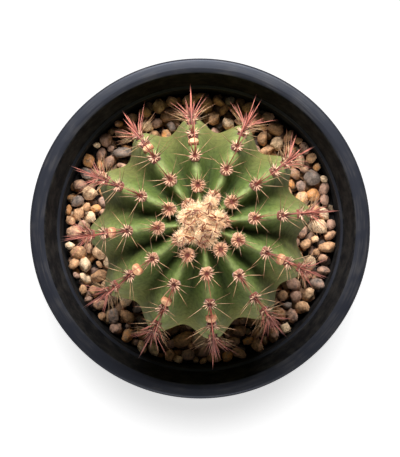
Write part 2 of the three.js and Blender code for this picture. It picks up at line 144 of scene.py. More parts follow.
def number(name, description, default):
    """A plain number that a user can change."""
    return FloatProperty(name=name, description=description, default=default)


def colour(name, description, hex_colour):
    """A colour that a user can change, stored linear."""
    return FloatVectorProperty(
        name=name, description=description, default=linear(hex_colour), size=3, min=0, max=1, subtype="COLOR"
    )


class PotSettings(bpy.types.PropertyGroup):
    """Sizes and colours of the pot and its soil"""

    edge_rounding: size("Edge rounding", "Radius of the rim's outer edge", 1.5 * MM)
    plastic: colour("Plastic", "Body colour of the moulded plastic", "#1a1b21")
    # The inner wall's colour is darker than the plastic's: painted shade inside the pot.
    inside: colour("Inside", "Colour of the matt inner wall", "#0c0c0f")
    dust: colour("Dust", "Colour of the dust and lime in its scuffs", "#8a8378")
    soil: colour("Soil", "Colour of the damp potting mix", "#2f2118")


class GravelSettings(bpy.types.PropertyGroup):
    """Sizes and colours of the top dressing"""

    stone_width: size("Stone width", "Middle width of a stone", 4.5 * MM)
    stone_count: IntProperty(name="Stones", description="Most stones laid in a layer", default=640, min=50)
    seed: IntProperty(name="Seed", description="Seed of the stones' places and shapes", default=5)
    bed: colour("Bed", "Colour in the shade between the stones", "#120b07")
    tan: colour("Tan stone", "Commonest stone", "#b0855f")
    cream: colour("Cream stone", "Palest stone", "#d3b592")
    pink: colour("Pink-grey stone", "Pinkish grey stone", "#9c7965")
    ochre: colour("Ochre stone", "Warm ochre stone", "#b97f48")
    grey: colour("Grey stone", "Dull grey stone", "#7b6c61")


class StemSettings(bpy.types.PropertyGroup):
    """Sizes and colours of the stem"""

    crown_furrow: size("Crown furrow depth", "Depth of a grown furrow on the dome", 8.2 * MM)
    side_furrow: size("Side furrow depth", "Depth of a furrow from the shoulder down", 6 * MM)
    chin: size("Chin", "How far the crest swells at each areole", 0.55 * MM)
    young_green: colour("Young skin", "Skin near the crown", "#495729")
    old_green: colour("Old skin", "Skin on the shoulder and sides", "#656435")
    # The crest colour is partly the crests' paler skin and partly a painted highlight.
    crest_pale_and_highlight: colour("Crest", "Pale line along each crest", "#88935b")
    # The furrow colour is painted shade in the furrows.
    furrow_painted_shade: colour("Furrow", "Skin in the furrows", "#121a05")
    bark: colour("Base", "Corky skin in the gravel", "#8d7a55")


class SpineSettings(bpy.types.PropertyGroup):
    """Sizes and colours of areoles and spines"""

    cushion_radius: size("Cushion radius", "Radius of a young felt cushion", 2.7 * MM)
    central_radius: size("Central thickness", "Radius of a central spine at its foot", 0.35 * MM)
    radial_radius: size("Radial thickness", "Radius of a radial spine at its foot", 0.19 * MM)
    seed: IntProperty(name="Seed", description="Seed of the spines' small differences", default=11)
    felt: colour("Felt", "Felt of a young cushion", "#c79371")
    worn_felt: colour("Worn felt", "Felt of an old cushion", "#6c3527")
    # Painted shade: the colour of a cushion's middle, among the spine feet.
    heart_shade: colour("Heart", "Middle of a cushion, between the spines", "#5a2015")
    wine: colour("Wine", "Dark horn at the feet of spines", "#5a2817")
    rust: colour("Rust", "Brown horn of young spines", "#7a422a")
    straw: colour("Straw", "Pale horn of radial spines", "#a88863")
    blush: colour("Blush", "Pale pink horn of the short spines over a cushion", "#d2a78b")
    rose: colour("Rose", "Pinkish horn of the shoulder's spines", "#b96f60")
    plum: colour("Plum", "Dull red horn of old spines", "#703528")


class CrownSettings(bpy.types.PropertyGroup):
    """Sizes and colours of the crown's wool and of the bud scars"""

    wool_radius: size("Wool radius", "Radius of the cap of wool", 7.4 * MM)
    wool_height: size("Wool height", "Height of the cap of wool", 2.6 * MM)
    hair_count: IntProperty(name="Hairs", description="Hairs in the cap of wool", default=4200, min=10)
    cream: colour("Cream wool", "Fresh wool", "#fad9af")
    tan: colour("Tan wool", "Older wool", "#e3a56e")
    scar: colour("Bud scar", "Dried skin of a bud scar", "#dfab80")
    scar_ring: colour("Scar ring", "Dark ring of a bud scar", "#a86f4c")


class StageSettings(bpy.types.PropertyGroup):
    """Floor, light and camera"""

    camera_height: size("Camera height", "Camera above the rim", 0.9)
    view_height: size("View height", "Height of the picture in the plane of the rim", 200.9 * MM)
    key_power: number("Key light", "Power of the large key light, in watts", 53)
    key_elevation: number("Key elevation", "Height of the key light, in degrees", 42)
    fill_power: number("Fill light", "Power of the low fill light, in watts", 12.5)
    sky: number("Sky", "Strength of the even light from all round", 0.1)
    floor_glow: number("Floor glow", "Light that the floor itself gives off", 0.63)
    floor_spill: number("Floor spill", "Floor glow that reaches the object", 0.2)
    floor_sun: number("Floor light", "Strength of the steep light on the floor", 1.36)
    floor: colour("Floor", "Colour of the floor", "#f4f4f4")


# ---------------------------------------------------------------- mesh and node helpers


def even_turn(count):
    """Angles that share a full turn evenly."""
    return np.arange(count) * TURN / count


def about_axis(radius, angle, height, middle=(0, 0)):
    """Points at a radius, an angle and a height about an upright axis."""
    x = radius * np.cos(angle) + middle[0]
    y = radius * np.sin(angle) + middle[1]
    return np.stack([x, y, height + 0 * x], -1)


def unit(vectors):
    """Vectors brought to length 1."""
    return vectors / np.linalg.norm(vectors, axis=-1, keepdims=True)


def grid_faces(rows, columns):
    """Quads of a grid of points whose columns close round, rows running so that faces point outwards."""
    row, column = np.meshgrid(np.arange(rows - 1), np.arange(columns), indexing="ij")
    after = (column + 1) % columns
    quad = np.stack([row * columns + column, (row + 1) * columns + column, (row + 1) * columns + after], -1)
    return np.concatenate([quad, (row * columns + after)[..., None]], -1).reshape(-1, 4)


def cap_faces(ring_start, columns, pole, flip):
    """Triangles that close a ring of points to one pole."""
    column = np.arange(columns)
    ring = np.stack([ring_start + column, ring_start + (column + 1) % columns], -1)
    if flip:
        ring = ring[:, ::-1]
    return np.concatenate([ring, np.full((columns, 1), pole)], -1)


def closed_faces(rows, columns, flip=False):
    """Faces of rows of closed rings and of the two poles that follow them, turned over by flip."""
    quads = grid_faces(rows, columns)
    first = cap_faces(0, columns, rows * columns, flip)
    last = cap_faces((rows - 1) * columns, columns, rows * columns + 1, not flip)
    return [quads[:, ::-1] if flip else quads, np.concatenate([first, last])]


def closed_surface(rings, first_pole, last_pole):
    """A surface of closed rings, from the pole over its first ring to the pole under its last."""
    points = np.concatenate([rings.reshape(-1, 3), [first_pole], [last_pole]])
    return points, closed_faces(*rings.shape[:2])


def repeated(faces, copies, points_each):
    """The faces of one shape, numbered on for each of its copies."""
    step = (np.arange(copies) * points_each)[:, None, None]
    return [(f[None] + step).reshape(-1, f.shape[1]) for f in faces]


def add_piece(name, points, faces, finish, replaces=(), attributes=None, smooth=True):
    """Puts points and faces into a mesh at the origin that rides on the part's one body."""
    mesh = bpy.data.meshes.new(name)
    mesh.vertices.add(len(points))
    mesh.vertices.foreach_set("co", np.asarray(points, np.float32).ravel())
    corners = np.concatenate([f.ravel() for f in faces]).astype(np.int32)
    sizes = np.concatenate([np.full(len(f), f.shape[1]) for f in faces])
    mesh.loops.add(len(corners))
    mesh.loops.foreach_set("vertex_index", corners)
    mesh.polygons.add(len(sizes))
    mesh.polygons.foreach_set("loop_start", np.concatenate([[0], np.cumsum(sizes)[:-1]]).astype(np.int32))
    mesh.update(calc_edges=True)
    for label, values in (attributes or {}).items():
        layer = mesh.attributes.new(label, "FLOAT", "POINT")
        layer.data.foreach_set("value", np.asarray(values, np.float32).ravel())
    if smooth:
        mesh.shade_smooth()
    piece = bpy.data.objects.new(name, mesh)
    bpy.context.scene.collection.objects.link(piece)
    mesh.materials.append(finish)
    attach(piece, "root")
    if replaces:
        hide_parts(*replaces)
    return piece


def new_material(name, roughness, **sockets):
    """A material with its shader, and the numbers that are the same all over it."""
    material = bpy.data.materials.new(name)
    material.use_nodes = True
    shader = material.node_tree.nodes["Principled BSDF"]
    shader.inputs["Roughness"].default_value = roughness
    for label, value in sockets.items():
        shader.inputs[label.replace("_", " ")].default_value = value
    return material, material.node_tree, shader


def add_node(tree, kind, inputs=None, stops=(), **settings):
    """Adds one node with its settings, its stops and its inputs: numbers, colours or other nodes' sockets."""
    node = tree.nodes.new(kind)
    for label, value in settings.items():
        setattr(node, label, value)
    for label, value in (inputs or {}).items():
        if isinstance(value, bpy.types.NodeSocket):
            tree.links.new(value, node.inputs[label])
        else:
            node.inputs[label].default_value = value
    for i, (place, value) in enumerate(stops):
        elements = node.color_ramp.elements
        element = elements[i] if i < 2 else elements.new(place)
        element.position = place
        element.color = (value, value, value, 1) if isinstance(value, (int, float)) else (*value, 1)
    return node


def attribute(tree, name):
    """The value that the piece's own mesh holds at each point under a name."""
    return add_node(tree, "ShaderNodeAttribute", attribute_name=name).outputs["Fac"]


def grain(tree, width, detail=2, roughness=0.5, place=None):
    """Noise with features of a width, in the object's own coordinates or in those of place."""
    if place is None:
        place = add_node(tree, "ShaderNodeTexCoord").outputs["Object"]
    inputs = {"Vector": place, "Scale": 1 / width, "Detail": detail, "Roughness": roughness}
    return add_node(tree, "ShaderNodeTexNoise", inputs).outputs["Fac"]


def arithmetic(tree, operation, *values):
    """One step of arithmetic with numbers or other nodes' values."""
    return add_node(tree, "ShaderNodeMath", dict(enumerate(values)), operation=operation).outputs[0]


def remap(tree, value, low=0, high=1, source=(0, 1)):
    """A value spread from its source range to another one."""
    inputs = {"Value": value, "From Min": source[0], "From Max": source[1], "To Min": low, "To Max": high}
    return add_node(tree, "ShaderNodeMapRange", inputs).outputs["Result"]


def ramp(tree, value, stops):
    """A colour, or a share written as a grey, read off stops of place and colour."""
    return add_node(tree, "ShaderNodeValToRGB", {"Fac": value}, stops).outputs["Color"]


def solid_colour(value):
    """A colour setting as red, green, blue and 1."""
    return (value[0], value[1], value[2], 1)


def blend(tree, share, *ends):
    """A colour between two ends, each a colour setting or another node's colour."""
    low, high = (end if isinstance(end, bpy.types.NodeSocket) else solid_colour(end) for end in ends)
    return add_node(tree, "ShaderNodeMix", {0: share, 6: low, 7: high}, data_type="RGBA").outputs[2]


def patchy(tree, noise, weight, name, source, *ends):
    """A colour between two ends by the mesh's own value under a name, its edge broken up by noise."""
    value = arithmetic(tree, "MULTIPLY_ADD", noise, weight, attribute(tree, name))
    return blend(tree, remap(tree, value, source=source), *ends)


def shaded(tree, tone, value):
    """A colour made darker or lighter by a value about 1."""
    return add_node(tree, "ShaderNodeHueSaturation", {"Color": tone, "Value": value}).outputs["Color"]


def relief(tree, height, depth, strength=1, **under):
    """The shading of small bumps of a depth, over another relief where Normal gives one."""
    inputs = {"Height": height, "Distance": depth, "Strength": strength, **under}
    return add_node(tree, "ShaderNodeBump", inputs).outputs["Normal"]


def wire(tree, shader, **sockets):
    """Links patterns to sockets of the shader."""
    for label, socket in sockets.items():
        tree.links.new(socket, shader.inputs[label.replace("_", " ")])


def smoothstep(x, low, high):
    """0 below low, 1 above high and an even S between."""
    t = np.clip((x - low) / (high - low), 0, 1)
    return t * t * (3 - 2 * t)


# ---------------------------------------------------------------- pot


def rounded(outline, radii, steps=6):
    """A closed outline of corners, each turned into an arc that touches both its sides."""
    corners = np.array(outline)
    to_before = unit(np.roll(corners, 1, 0) - corners)
    to_after = unit(np.roll(corners, -1, 0) - corners)
    half = np.arccos(np.clip((to_before * to_after).sum(1), -1, 1)) / 2
    radius = np.array(radii)
    reach = radius / np.tan(half)
    centre = corners + unit(to_before + to_after) * (radius / np.sin(half))[:, None]
    start = corners + to_before * reach[:, None]
    end = corners + to_after * reach[:, None]
    first = np.arctan2(*(start - centre).T[::-1])
    last = np.arctan2(*(end - centre).T[::-1])
    sweep = (last - first + math.pi) % TURN - math.pi
    angle = first[:, None] + sweep[:, None] * np.linspace(0, 1, steps)
    arc = centre[:, None] + radius[:, None, None] * np.stack([np.cos(angle), np.sin(angle)], -1)
    return arc.reshape(-1, 2)


def pot_inner_radius(z):
    """Radius of the pot's inside below the ledge, which widens evenly from its floor."""
    floor = FLOOR_RAISE + WALL
    return FOOT_RADIUS - WALL + (LEDGE_RADIUS - FOOT_RADIUS + WALL) * (z - floor) / (LEDGE_LEVEL - floor)


def pot_outline(rounding):
    """The pot's section: up the outside, over the rolled rim and down the inside, its corners rounded."""
    top = POT_HEIGHT
    foot_inner = FOOT_RADIUS - FOOT_WIDTH - 0.8 * MM
    collar = RIM_INNER_RADIUS + WALL
    skirt = RIM_RADIUS - WALL
    fine = 0.5 * MM
    corners = [
        (foot_inner - 1.2 * MM, FLOOR_RAISE, fine),
        (foot_inner, 0, fine),
        (FOOT_RADIUS, 0, 0.8 * MM),
        (LEDGE_RADIUS + WALL, LEDGE_LEVEL - 2.2 * MM, fine),
        (COLLAR_FOOT_RADIUS + WALL, LEDGE_LEVEL - 0.3 * MM, fine),
        (collar, top - WALL, 0.8 * MM),
        (skirt, top - WALL, 0.8 * MM),
        (skirt - 0.3 * MM, top - RIM_SKIRT, 0.4 * MM),
        (RIM_RADIUS - 0.5 * MM, top - RIM_SKIRT, 0.6 * MM),
        (RIM_RADIUS, top - 0.6 * MM, rounding),
        (RIM_RADIUS - 4.4 * MM, top, 0.6 * MM),
        (RIM_INNER_RADIUS, top - 0.05 * MM, 1.3 * MM),
        (COLLAR_FOOT_RADIUS, LEDGE_LEVEL + 0.2 * MM, 0.7 * MM),
        (LEDGE_RADIUS, LEDGE_LEVEL, 0.5 * MM),
        (FOOT_RADIUS - WALL, FLOOR_RAISE + WALL, 1.2 * MM),
    ]
    return rounded([(r, z) for r, z, _ in corners], [radius for _, _, radius in corners])


def drill_floor(pot):
    """Cuts the round drain holes through the pot's floor, one in its middle and the others on a circle."""
    sides = 32
    centres = np.concatenate([about_axis(DRAIN_CIRCLE_RADIUS, even_turn(DRAIN_COUNT), 0), [[0, 0, 0]]])
    circle = about_axis(DRAIN_RADIUS, even_turn(sides), 0)
    levels = np.array([[0, 0, FLOOR_RAISE + 3 * WALL], [0, 0, FLOOR_RAISE - WALL]])
    rings = centres[:, None, None] + levels[:, None] + circle
    points = np.concatenate([rings.reshape(len(centres), -1, 3), centres[:, None] + levels], 1)
    faces = repeated(closed_faces(2, sides), len(centres), 2 * sides + 2)
    mesh = bpy.data.meshes.new("drill")
    mesh.from_pydata(points.reshape(-1, 3).tolist(), [], [f.tolist() for part in faces for f in part])
    drill = bpy.data.objects.new("drill", mesh)
    bpy.context.scene.collection.objects.link(drill)
    cut = pot.modifiers.new("drain holes", "BOOLEAN")
    cut.operation = "DIFFERENCE"
    cut.solver = "EXACT"
    cut.object = drill
    with bpy.context.temp_override(object=pot, active_object=pot):
        bpy.ops.object.modifier_apply(modifier=cut.name)
    bpy.data.objects.remove(drill)


def moulded_plastic(settings):
    """Moulded polypropylene: satin blue-black that mirrors light softly, with ring-shaped scuffs and dust."""
    material, tree, shader = new_material(
        "moulded polypropylene", 0.45, IOR=1.49, Specular_IOR_Level=0.3, Specular_Tint=(0.76, 0.83, 1, 1)
    )
    # Scuffs run round the pot: noise that changes fast across a ring and slowly along it.
    place = add_node(tree, "ShaderNodeTexCoord").outputs["Object"]
    flat = add_node(tree, "ShaderNodeVectorMath", {0: place, 1: (1, 1, 0)}, operation="MULTIPLY").outputs[0]
    spoke = add_node(tree, "ShaderNodeVectorMath", {0: flat}, operation="NORMALIZE").outputs[0]
    radius = add_node(tree, "ShaderNodeVectorMath", {0: flat}, operation="LENGTH").outputs["Value"]
    height = add_node(tree, "ShaderNodeSeparateXYZ", {0: place}).outputs["Z"]
    fine = arithmetic(tree, "MULTIPLY", arithmetic(tree, "SUBTRACT", radius, height), 1 / (0.6 * MM))
    ring = add_node(tree, "ShaderNodeCombineXYZ", {2: fine}).outputs[0]
    sweep = {0: spoke, 1: (5, 5, 0), 2: ring}
    swept = add_node(tree, "ShaderNodeVectorMath", sweep, operation="MULTIPLY_ADD").outputs[0]
    scuff = grain(tree, 1, 4, place=swept)
    dusty = arithmetic(tree, "MULTIPLY", grain(tree, 9 * MM, 6), scuff)
    tone = blend(tree, ramp(tree, dusty, [(0.22, 0), (0.44, 0.08)]), settings.plastic, settings.dust)
    bumps = relief(tree, scuff, 0.12 * MM, 0.16)
    wire(tree, shader, Base_Color=tone, Roughness=remap(tree, scuff, 0.36, 0.5), Normal=bumps)
    return material


def dusty_shaded_plastic(settings):
    """The pot's inner wall: the same plastic dulled by dust and lime, which mirrors almost nothing, and
    darker than the outside as painted shade.
    """
    material, tree, shader = new_material("dusty polypropylene with painted shade", 0.85, IOR=1.49, Specular_IOR_Level=0.12)
    amount = ramp(tree, grain(tree, 6 * MM, 6, 0.7), [(0.42, 0), (0.68, 0.085)])
    wire(tree, shader, Base_Color=blend(tree, amount, settings.inside, settings.dust))
    return material


def potting_mix(settings):
    """Damp potting mix: dark crumbs of peat and bark with no shine."""
    material, tree, shader = new_material("damp potting mix", 0.95)
    place = add_node(tree, "ShaderNodeTexCoord").outputs["Object"]
    crumb = add_node(tree, "ShaderNodeTexVoronoi", {"Vector": place, "Scale": 1 / (2.2 * MM)})
    dark = [0.35 * c for c in settings.soil]
    tone = ramp(tree, grain(tree, 1.1 * MM, 5), [(0.35, dark), (0.7, settings.soil)])
    wire(tree, shader, Base_Color=tone, Normal=relief(tree, crumb.outputs["Distance"], 1.2 * MM))
    return material


class CACTUS_OT_pot(bpy.types.Operator):
    """Turns the pot from its rounded section, drills its drain holes and gives the soil its finish"""

    bl_idname = "cactus.pot"
    bl_label = "Pot"

    def execute(self, context):
        settings = context.scene.cactus_pot
        outline = pot_outline(settings.edge_rounding)
        rings = about_axis(outline[:, :1], even_turn(POT_COLUMNS), outline[:, 1:])
        under = np.array([0, 0, FLOOR_RAISE])
        inside = np.array([0, 0, FLOOR_RAISE + WALL])
        # The section runs up the outside, so its rings are turned over for faces that point outwards.
        points, faces = closed_surface(rings[::-1], inside, under)
        pot = add_piece("pot_body", points, faces, moulded_plastic(settings), ["pot"])
        drill_floor(pot)
        pot.data.set_sharp_from_angle(angle=SHARP_ANGLE)
        self.dull_and_shade_inside(pot.data, settings)
        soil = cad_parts["soil"]
        soil.data.materials.clear()
        soil.data.materials.append(potting_mix(settings))
        return {"FINISHED"}

    def dull_and_shade_inside(self, mesh, settings):
        """Gives the inner wall and the floor's upper face the dusty finish, darker as painted shade, and
        leaves the ledge shiny and unshaded, so it shows as a lighter line.
        """
        mesh.materials.append(dusty_shaded_plastic(settings))
        centre = np.empty(len(mesh.polygons) * 3, np.float32)
        mesh.polygons.foreach_get("center", centre)
        x, y, z = centre.reshape(-1, 3).T
        radius = np.hypot(x, y)
        wall = np.where(z > LEDGE_LEVEL, RIM_INNER_RADIUS, pot_inner_radius(z)) + 0.3 * MM
        inside = (radius < wall) & (z > FLOOR_RAISE + 0.9 * WALL)
        ledge = (radius > LEDGE_RADIUS - 1 * MM) & (radius < COLLAR_FOOT_RADIUS - 0.4 * MM)
        inside &= (np.abs(z - LEDGE_LEVEL) > 0.6 * MM) | ~ledge
        mesh.polygons.foreach_set("material_index", inside.astype(np.int32))


# ---------------------------------------------------------------- stem


def crest_outline():
    """Radius and height of a rib's crest from the growing point to the root's tip, and the distance along it.

    The dome is the superellipse r = R sin(t)^(2/n), drop = H (1 - cos(t)^(2/n)). The side narrows with the
    square of the way down. The base is a quarter of an ellipse, and the root tapers from the neck.
    """
    power = 2 / DOME_POWER
    shoulder = STEM_TOP - SHOULDER_DEPTH
    t = np.linspace(0, math.pi / 2, 400)[1:-1]
    q = np.linspace(0, 1, 120)
    b = np.linspace(0, math.pi / 2, 60)[1:]
    dome = (STEM_RADIUS * np.sin(t) ** power, STEM_TOP - SHOULDER_DEPTH * (1 - np.cos(t) ** power))
    side = (STEM_RADIUS - (STEM_RADIUS - STEM_BASE_RADIUS) * q**2, shoulder + (STEM_BASE - shoulder) * q)
    base = (
        NECK_RADIUS + (STEM_BASE_RADIUS - NECK_RADIUS) * np.cos(b),
        STEM_BASE - (STEM_BASE - NECK_LEVEL) * np.sin(b),
    )
    r, z = np.concatenate([[[0], [STEM_TOP]], dome, side, base, np.transpose(ROOT_OUTLINE)], 1)
    return r, z, np.concatenate([[0], np.cumsum(np.hypot(np.diff(r), np.diff(z)))])


CREST_R, CREST_Z, CREST_S = crest_outline()
CREST_SLOPE_R = np.gradient(CREST_R, CREST_S)
CREST_SLOPE_Z = np.gradient(CREST_Z, CREST_S)


def crest_at(s):
    """Radius, height and outward direction of the crest at distances s along it."""
    slope_r = np.interp(s, CREST_S, CREST_SLOPE_R)
    slope_z = np.interp(s, CREST_S, CREST_SLOPE_Z)
    length = np.hypot(slope_r, slope_z)
    return np.interp(s, CREST_S, CREST_R), np.interp(s, CREST_S, CREST_Z), -slope_z / length, slope_r / length


def crest_distance(z):
    """Distance along the crest at which it passes height z."""
    return np.interp(-z, -CREST_Z, CREST_S)


def furrow_depth(s, z, settings):
    """Depth of the furrows: nothing at the growing point, less on the sides and ending in the soil."""
    grown = s**2 / (s**2 + RIB_DEPTH_RUN**2)
    side = smoothstep(s, DEEP_FURROW_DISTANCE, SHOULDER_DISTANCE)
    depth = settings.crown_furrow + (settings.side_furrow - settings.crown_furrow) * side
    return depth * grown * smoothstep(z, NECK_LEVEL + 4 * MM, STEM_BASE)


def rib_shape(across):
    """Height of a rib across its width, a raised cosine: 1 on the crest and 0 in the furrow."""
    return 0.5 * (1 + np.cos(math.pi * across))


def rib_position(angle):
    """The rib that an angle is nearest to, and how far across it, from -1 to 1."""
    turn = (angle - FIRST_RIB) * RIB_COUNT / TURN
    nearest = np.round(turn)
    return nearest.astype(int) % RIB_COUNT, 2 * (turn - nearest)


def stand(r, angle, s, z):
    """Points of the stem at radius r in the direction angle from the growing point, beside the pot's axis.

    The offset is the same at all heights, but from the shoulder down r is measured from the pot's axis.
    """
    upright = smoothstep(z, NECK_LEVEL, STEM_BASE)
    shift_x, shift_y = CROWN_OFFSET[0] * upright, CROWN_OFFSET[1] * upright
    centred = smoothstep(s, 0, SHOULDER_DISTANCE)
    reach = r - centred * (shift_x * np.cos(angle) + shift_y * np.sin(angle))
    return about_axis(reach, angle, z, (shift_x, shift_y))


def skin(angle, s, settings):
    """Points of the skin at angles and distances down the ribs, swollen under each areole."""
    rib, across = rib_position(angle)
    r, z, out_r, out_z = crest_at(s)
    first = np.array(FIRST_AREOLE)[rib]
    phase = (s - first) / AREOLE_SPACING
    chin = settings.chin * np.cos(TURN * (phase - 0.1)) * (1 - np.abs(across)) ** 2
    chin = chin * smoothstep(s, 8 * MM, 22 * MM) * smoothstep(z, STEM_BASE, LOWEST_AREOLE)
    inward = furrow_depth(s, z, settings) * (1 - rib_shape(across)) - chin
    return stand(np.maximum(r - out_r * inward, 0), angle, s, z - out_z * inward)


def stem_radius_at(angle, z, settings):
    """Radius of the skin at an angle round the pot's axis and a height below the shoulder."""
    s = crest_distance(z)
    r = np.interp(s, CREST_S, CREST_R)
    swing = (CROWN_OFFSET[1] * np.cos(angle) - CROWN_OFFSET[0] * np.sin(angle)) / r
    _, across = rib_position(angle - swing)
    return r - furrow_depth(s, z, settings) * (1 - rib_shape(across))


def waxy_skin(settings):
    """Waxy cactus skin: satin green that browns with age, with pale crests that are partly a painted
    highlight, furrows darkened as painted shade and made matt, and pores.
    """
    material, tree, shader = new_material(
        "waxy cactus skin", 0.5, IOR=1.45, Specular_IOR_Level=0.15,
        Subsurface_Weight=0.2, Subsurface_Radius=(0.6, 1.0, 0.3), Subsurface_Scale=2 * MM,
    )
    across = attribute(tree, "across")
    cloud = grain(tree, 11 * MM, 5, 0.6)
    flank = patchy(tree, cloud, 0.9, "age", (0.55, 1.45), settings.young_green, settings.old_green)
    # The crests are lightened, partly as their own paler skin and partly as a painted highlight.
    crest = ramp(tree, across, [(0, 0.55), (0.15, 0.35), (0.42, 0)])
    crest_lightened = blend(tree, crest, flank, settings.crest_pale_and_highlight)
    # Painted shade: the furrows are darkened, less on the older stem.
    low = ramp(tree, across, [(0.42, 0), (0.76, 0.42), (1, 0.85)])
    furrow = arithmetic(tree, "MULTIPLY", low, remap(tree, attribute(tree, "age"), 1, 0.1))
    furrow_shaded = blend(tree, furrow, crest_lightened, settings.furrow_painted_shade)
    corked = blend(tree, attribute(tree, "buried"), furrow_shaded, settings.bark)
    mottled = shaded(tree, corked, remap(tree, grain(tree, 1.5 * MM, 4), 0.74, 1.26, (0.3, 0.7)))
    pores = relief(tree, grain(tree, 0.55 * MM), 0.15 * MM, 0.2)
    dents = relief(tree, cloud, 1 * MM, 0.35, Normal=pores)
    satin = remap(tree, cloud, 0.45, 0.66)
    rough = add_node(tree, "ShaderNodeMix", {0: low, 2: satin, 3: 1}, data_type="FLOAT").outputs[0]
    wire(tree, shader, Base_Color=mottled, Roughness=rough, Normal=dents)
    return material


class CACTUS_OT_stem(bpy.types.Operator):
    """Builds the ribbed stem with its neck and root as one closed skin"""

    bl_idname = "cactus.stem"
    bl_label = "Stem"

    def execute(self, context):
        settings = context.scene.cactus_stem
        # Rows are closest at the crown, where the crest turns most.
        share = np.linspace(0, 1, STEM_ROWS + 1)[1:]
        seen_end = crest_distance(STEM_BASE - 3 * MM)
        s = np.concatenate([seen_end * share**1.15, np.linspace(seen_end, CREST_S[-1], ROOT_ROWS)[1:]])
        s_grid, angle_grid = np.meshgrid(s, FIRST_RIB + even_turn(STEM_COLUMNS), indexing="ij")
        rings = skin(angle_grid, s_grid, settings)
        top = skin(np.array(0.0), np.array(0.0), settings)
        points, faces = closed_surface(rings, top, np.array([0, 0, ROOT_TIP]))
        _, across = rib_position(angle_grid)
        attributes = {
            "across": np.concatenate([np.abs(across).ravel(), [0, 0]]),
            "age": np.concatenate([smoothstep(s_grid, 14 * MM, 70 * MM).ravel(), [0, 1]]),
            "buried": 1 - smoothstep(points[:, 2], STEM_BASE, STEM_BASE + 16 * MM),
        }
        add_piece("stem_skin", points, faces, waxy_skin(settings), ["cactus"], attributes)
        return {"FINISHED"}


# ---------------------------------------------------------------- areoles


def areoles(settings):
    """Place and frame of each areole (out of the skin, up the rib and across it), and its distance s."""
    ribs, distances = [], []
    for rib, first in enumerate(FIRST_AREOLE):
        s = np.arange(first, CREST_S[-1], AREOLE_SPACING)
        s = s[crest_at(s)[1] > LOWEST_AREOLE]
        ribs.append(np.full(len(s), rib))
        distances.append(s)
    rib, s = np.concatenate(ribs), np.concatenate(distances)
    angle = FIRST_RIB + rib * TURN / RIB_COUNT
    _, _, out_r, out_z = crest_at(s)
    radial = about_axis(1, angle, 0)
    out = radial * out_r[:, None] + np.array([0, 0, 1]) * out_z[:, None]
    up = -radial * out_z[:, None] + np.array([0, 0, 1]) * out_r[:, None]
    at = skin(angle, s, settings)
    return {"rib": rib, "s": s, "at": at, "out": out, "up": up, "side": np.cross(up, out)}


def along_stem(s, crown, middle, shoulder, base):
    """A size that changes from the crown over the middle and the shoulder to the base of the stem."""
    young = crown + (middle - crown) * smoothstep(s, 8 * MM, 34 * MM)
    grown = young + (shoulder - young) * smoothstep(s, 48 * MM, 76 * MM)
    return grown + (base - grown) * smoothstep(s, 80 * MM, 112 * MM)


def worn(s):
    """How worn the areoles are at distances s from the growing point: 0 at the crown, 1 on the grown stem."""
    return smoothstep(s, 13 * MM, 32 * MM)


def directions(field, tilt, bearing):
    """Unit directions from areoles, by tilt above the skin and bearing from straight down the rib."""
    out, up, side = field["out"][:, None], field["up"][:, None], field["side"][:, None]
    down = side * np.sin(bearing)[..., None] - up * np.cos(bearing)[..., None]
    return down * np.cos(tilt)[..., None] + out * np.sin(tilt)[..., None]


def clear_of_gravel(root, direction, length):
    """Directions turned up until their spines' tips are above the stones."""
    low = (LOWEST_SPINE_TIP - root[..., 2]) / length
    x, y, z = np.moveaxis(direction, -1, 0)
    flat = np.sqrt(np.clip(1 - low**2, 0, 1)) / np.maximum(np.hypot(x, y), 1e-9)
    raised = np.stack([x * flat, y * flat, low], -1)
    return np.where((z < low)[..., None], raised, direction)


def needles(root, direction, length, radius, bow, sides=5, rings=5, taper=0.75):
    """Points, faces and the way along of tapered needles.

    A needle's axis is root + L u d + bow u^2 and its radius R (1 - u)^taper, closed by a point at each end.
    """
    count = len(root)
    u = np.linspace(0, 1, rings + 1)[:-1]
    first = unit(np.cross(direction, np.where(np.abs(direction[:, 2:3]) > 0.9, [[1.0, 0, 0]], [[0, 0, 1.0]])))
    second = np.cross(direction, first)
    turn = even_turn(sides)
    axis = root[:, None] + direction[:, None] * (length[:, None] * u)[..., None]
    axis = axis + bow[:, None] * (u**2)[None, :, None]
    wide = radius[:, None] * (1 - u) ** taper
    spoke = first[:, None] * np.cos(turn)[None, :, None] + second[:, None] * np.sin(turn)[None, :, None]
    body = axis[:, :, None] + wide[:, :, None, None] * spoke[:, None]
    heel = root - direction * (radius * 0.6)[:, None]
    point = root + direction * length[:, None] + bow
    points = np.concatenate([body.reshape(count, -1, 3), heel[:, None], point[:, None]], 1)
    # The rings run from heel to point, so their faces are turned over to look outwards.
    faces = repeated(closed_faces(rings, sides, True), count, rings * sides + 2)
    along = np.concatenate([np.repeat(u, sides), [0, 1]])
    return points.reshape(-1, 3), faces, np.tile(along, count)


def add_needles(name, parts, finish, age, tint):
    """Puts needles into a piece whose finish reads the way along each of them, its age and its tint."""
    points, faces, along = parts
    each = len(along) // len(tint)
    attributes = {"along": along, "age": np.repeat(age, each), "tint": np.repeat(tint, each)}
    add_piece(name, points, faces, finish, attributes=attributes)


def spread(random, low, high, shape):
    """Evenly random numbers from low to high."""
    return low + (high - low) * random.random(shape)


def felt(settings):
    """Areole felt: short matted wool, peach while young and brown where it is worn, darkened in its middle as
    painted shade among the spine feet.
    """
    material, tree, shader = new_material("areole felt", 0.95, Sheen_Weight=0.3, Sheen_Roughness=0.5)
    wool_tone = blend(tree, attribute(tree, "age"), settings.felt, settings.worn_felt)
    mat = grain(tree, 0.6 * MM, 3)
    tone = patchy(tree, mat, 0.6, "heart_shade", (0.6, 1), wool_tone, settings.heart_shade)
    wire(tree, shader, Base_Color=tone, Normal=relief(tree, mat, 0.4 * MM))
    return material


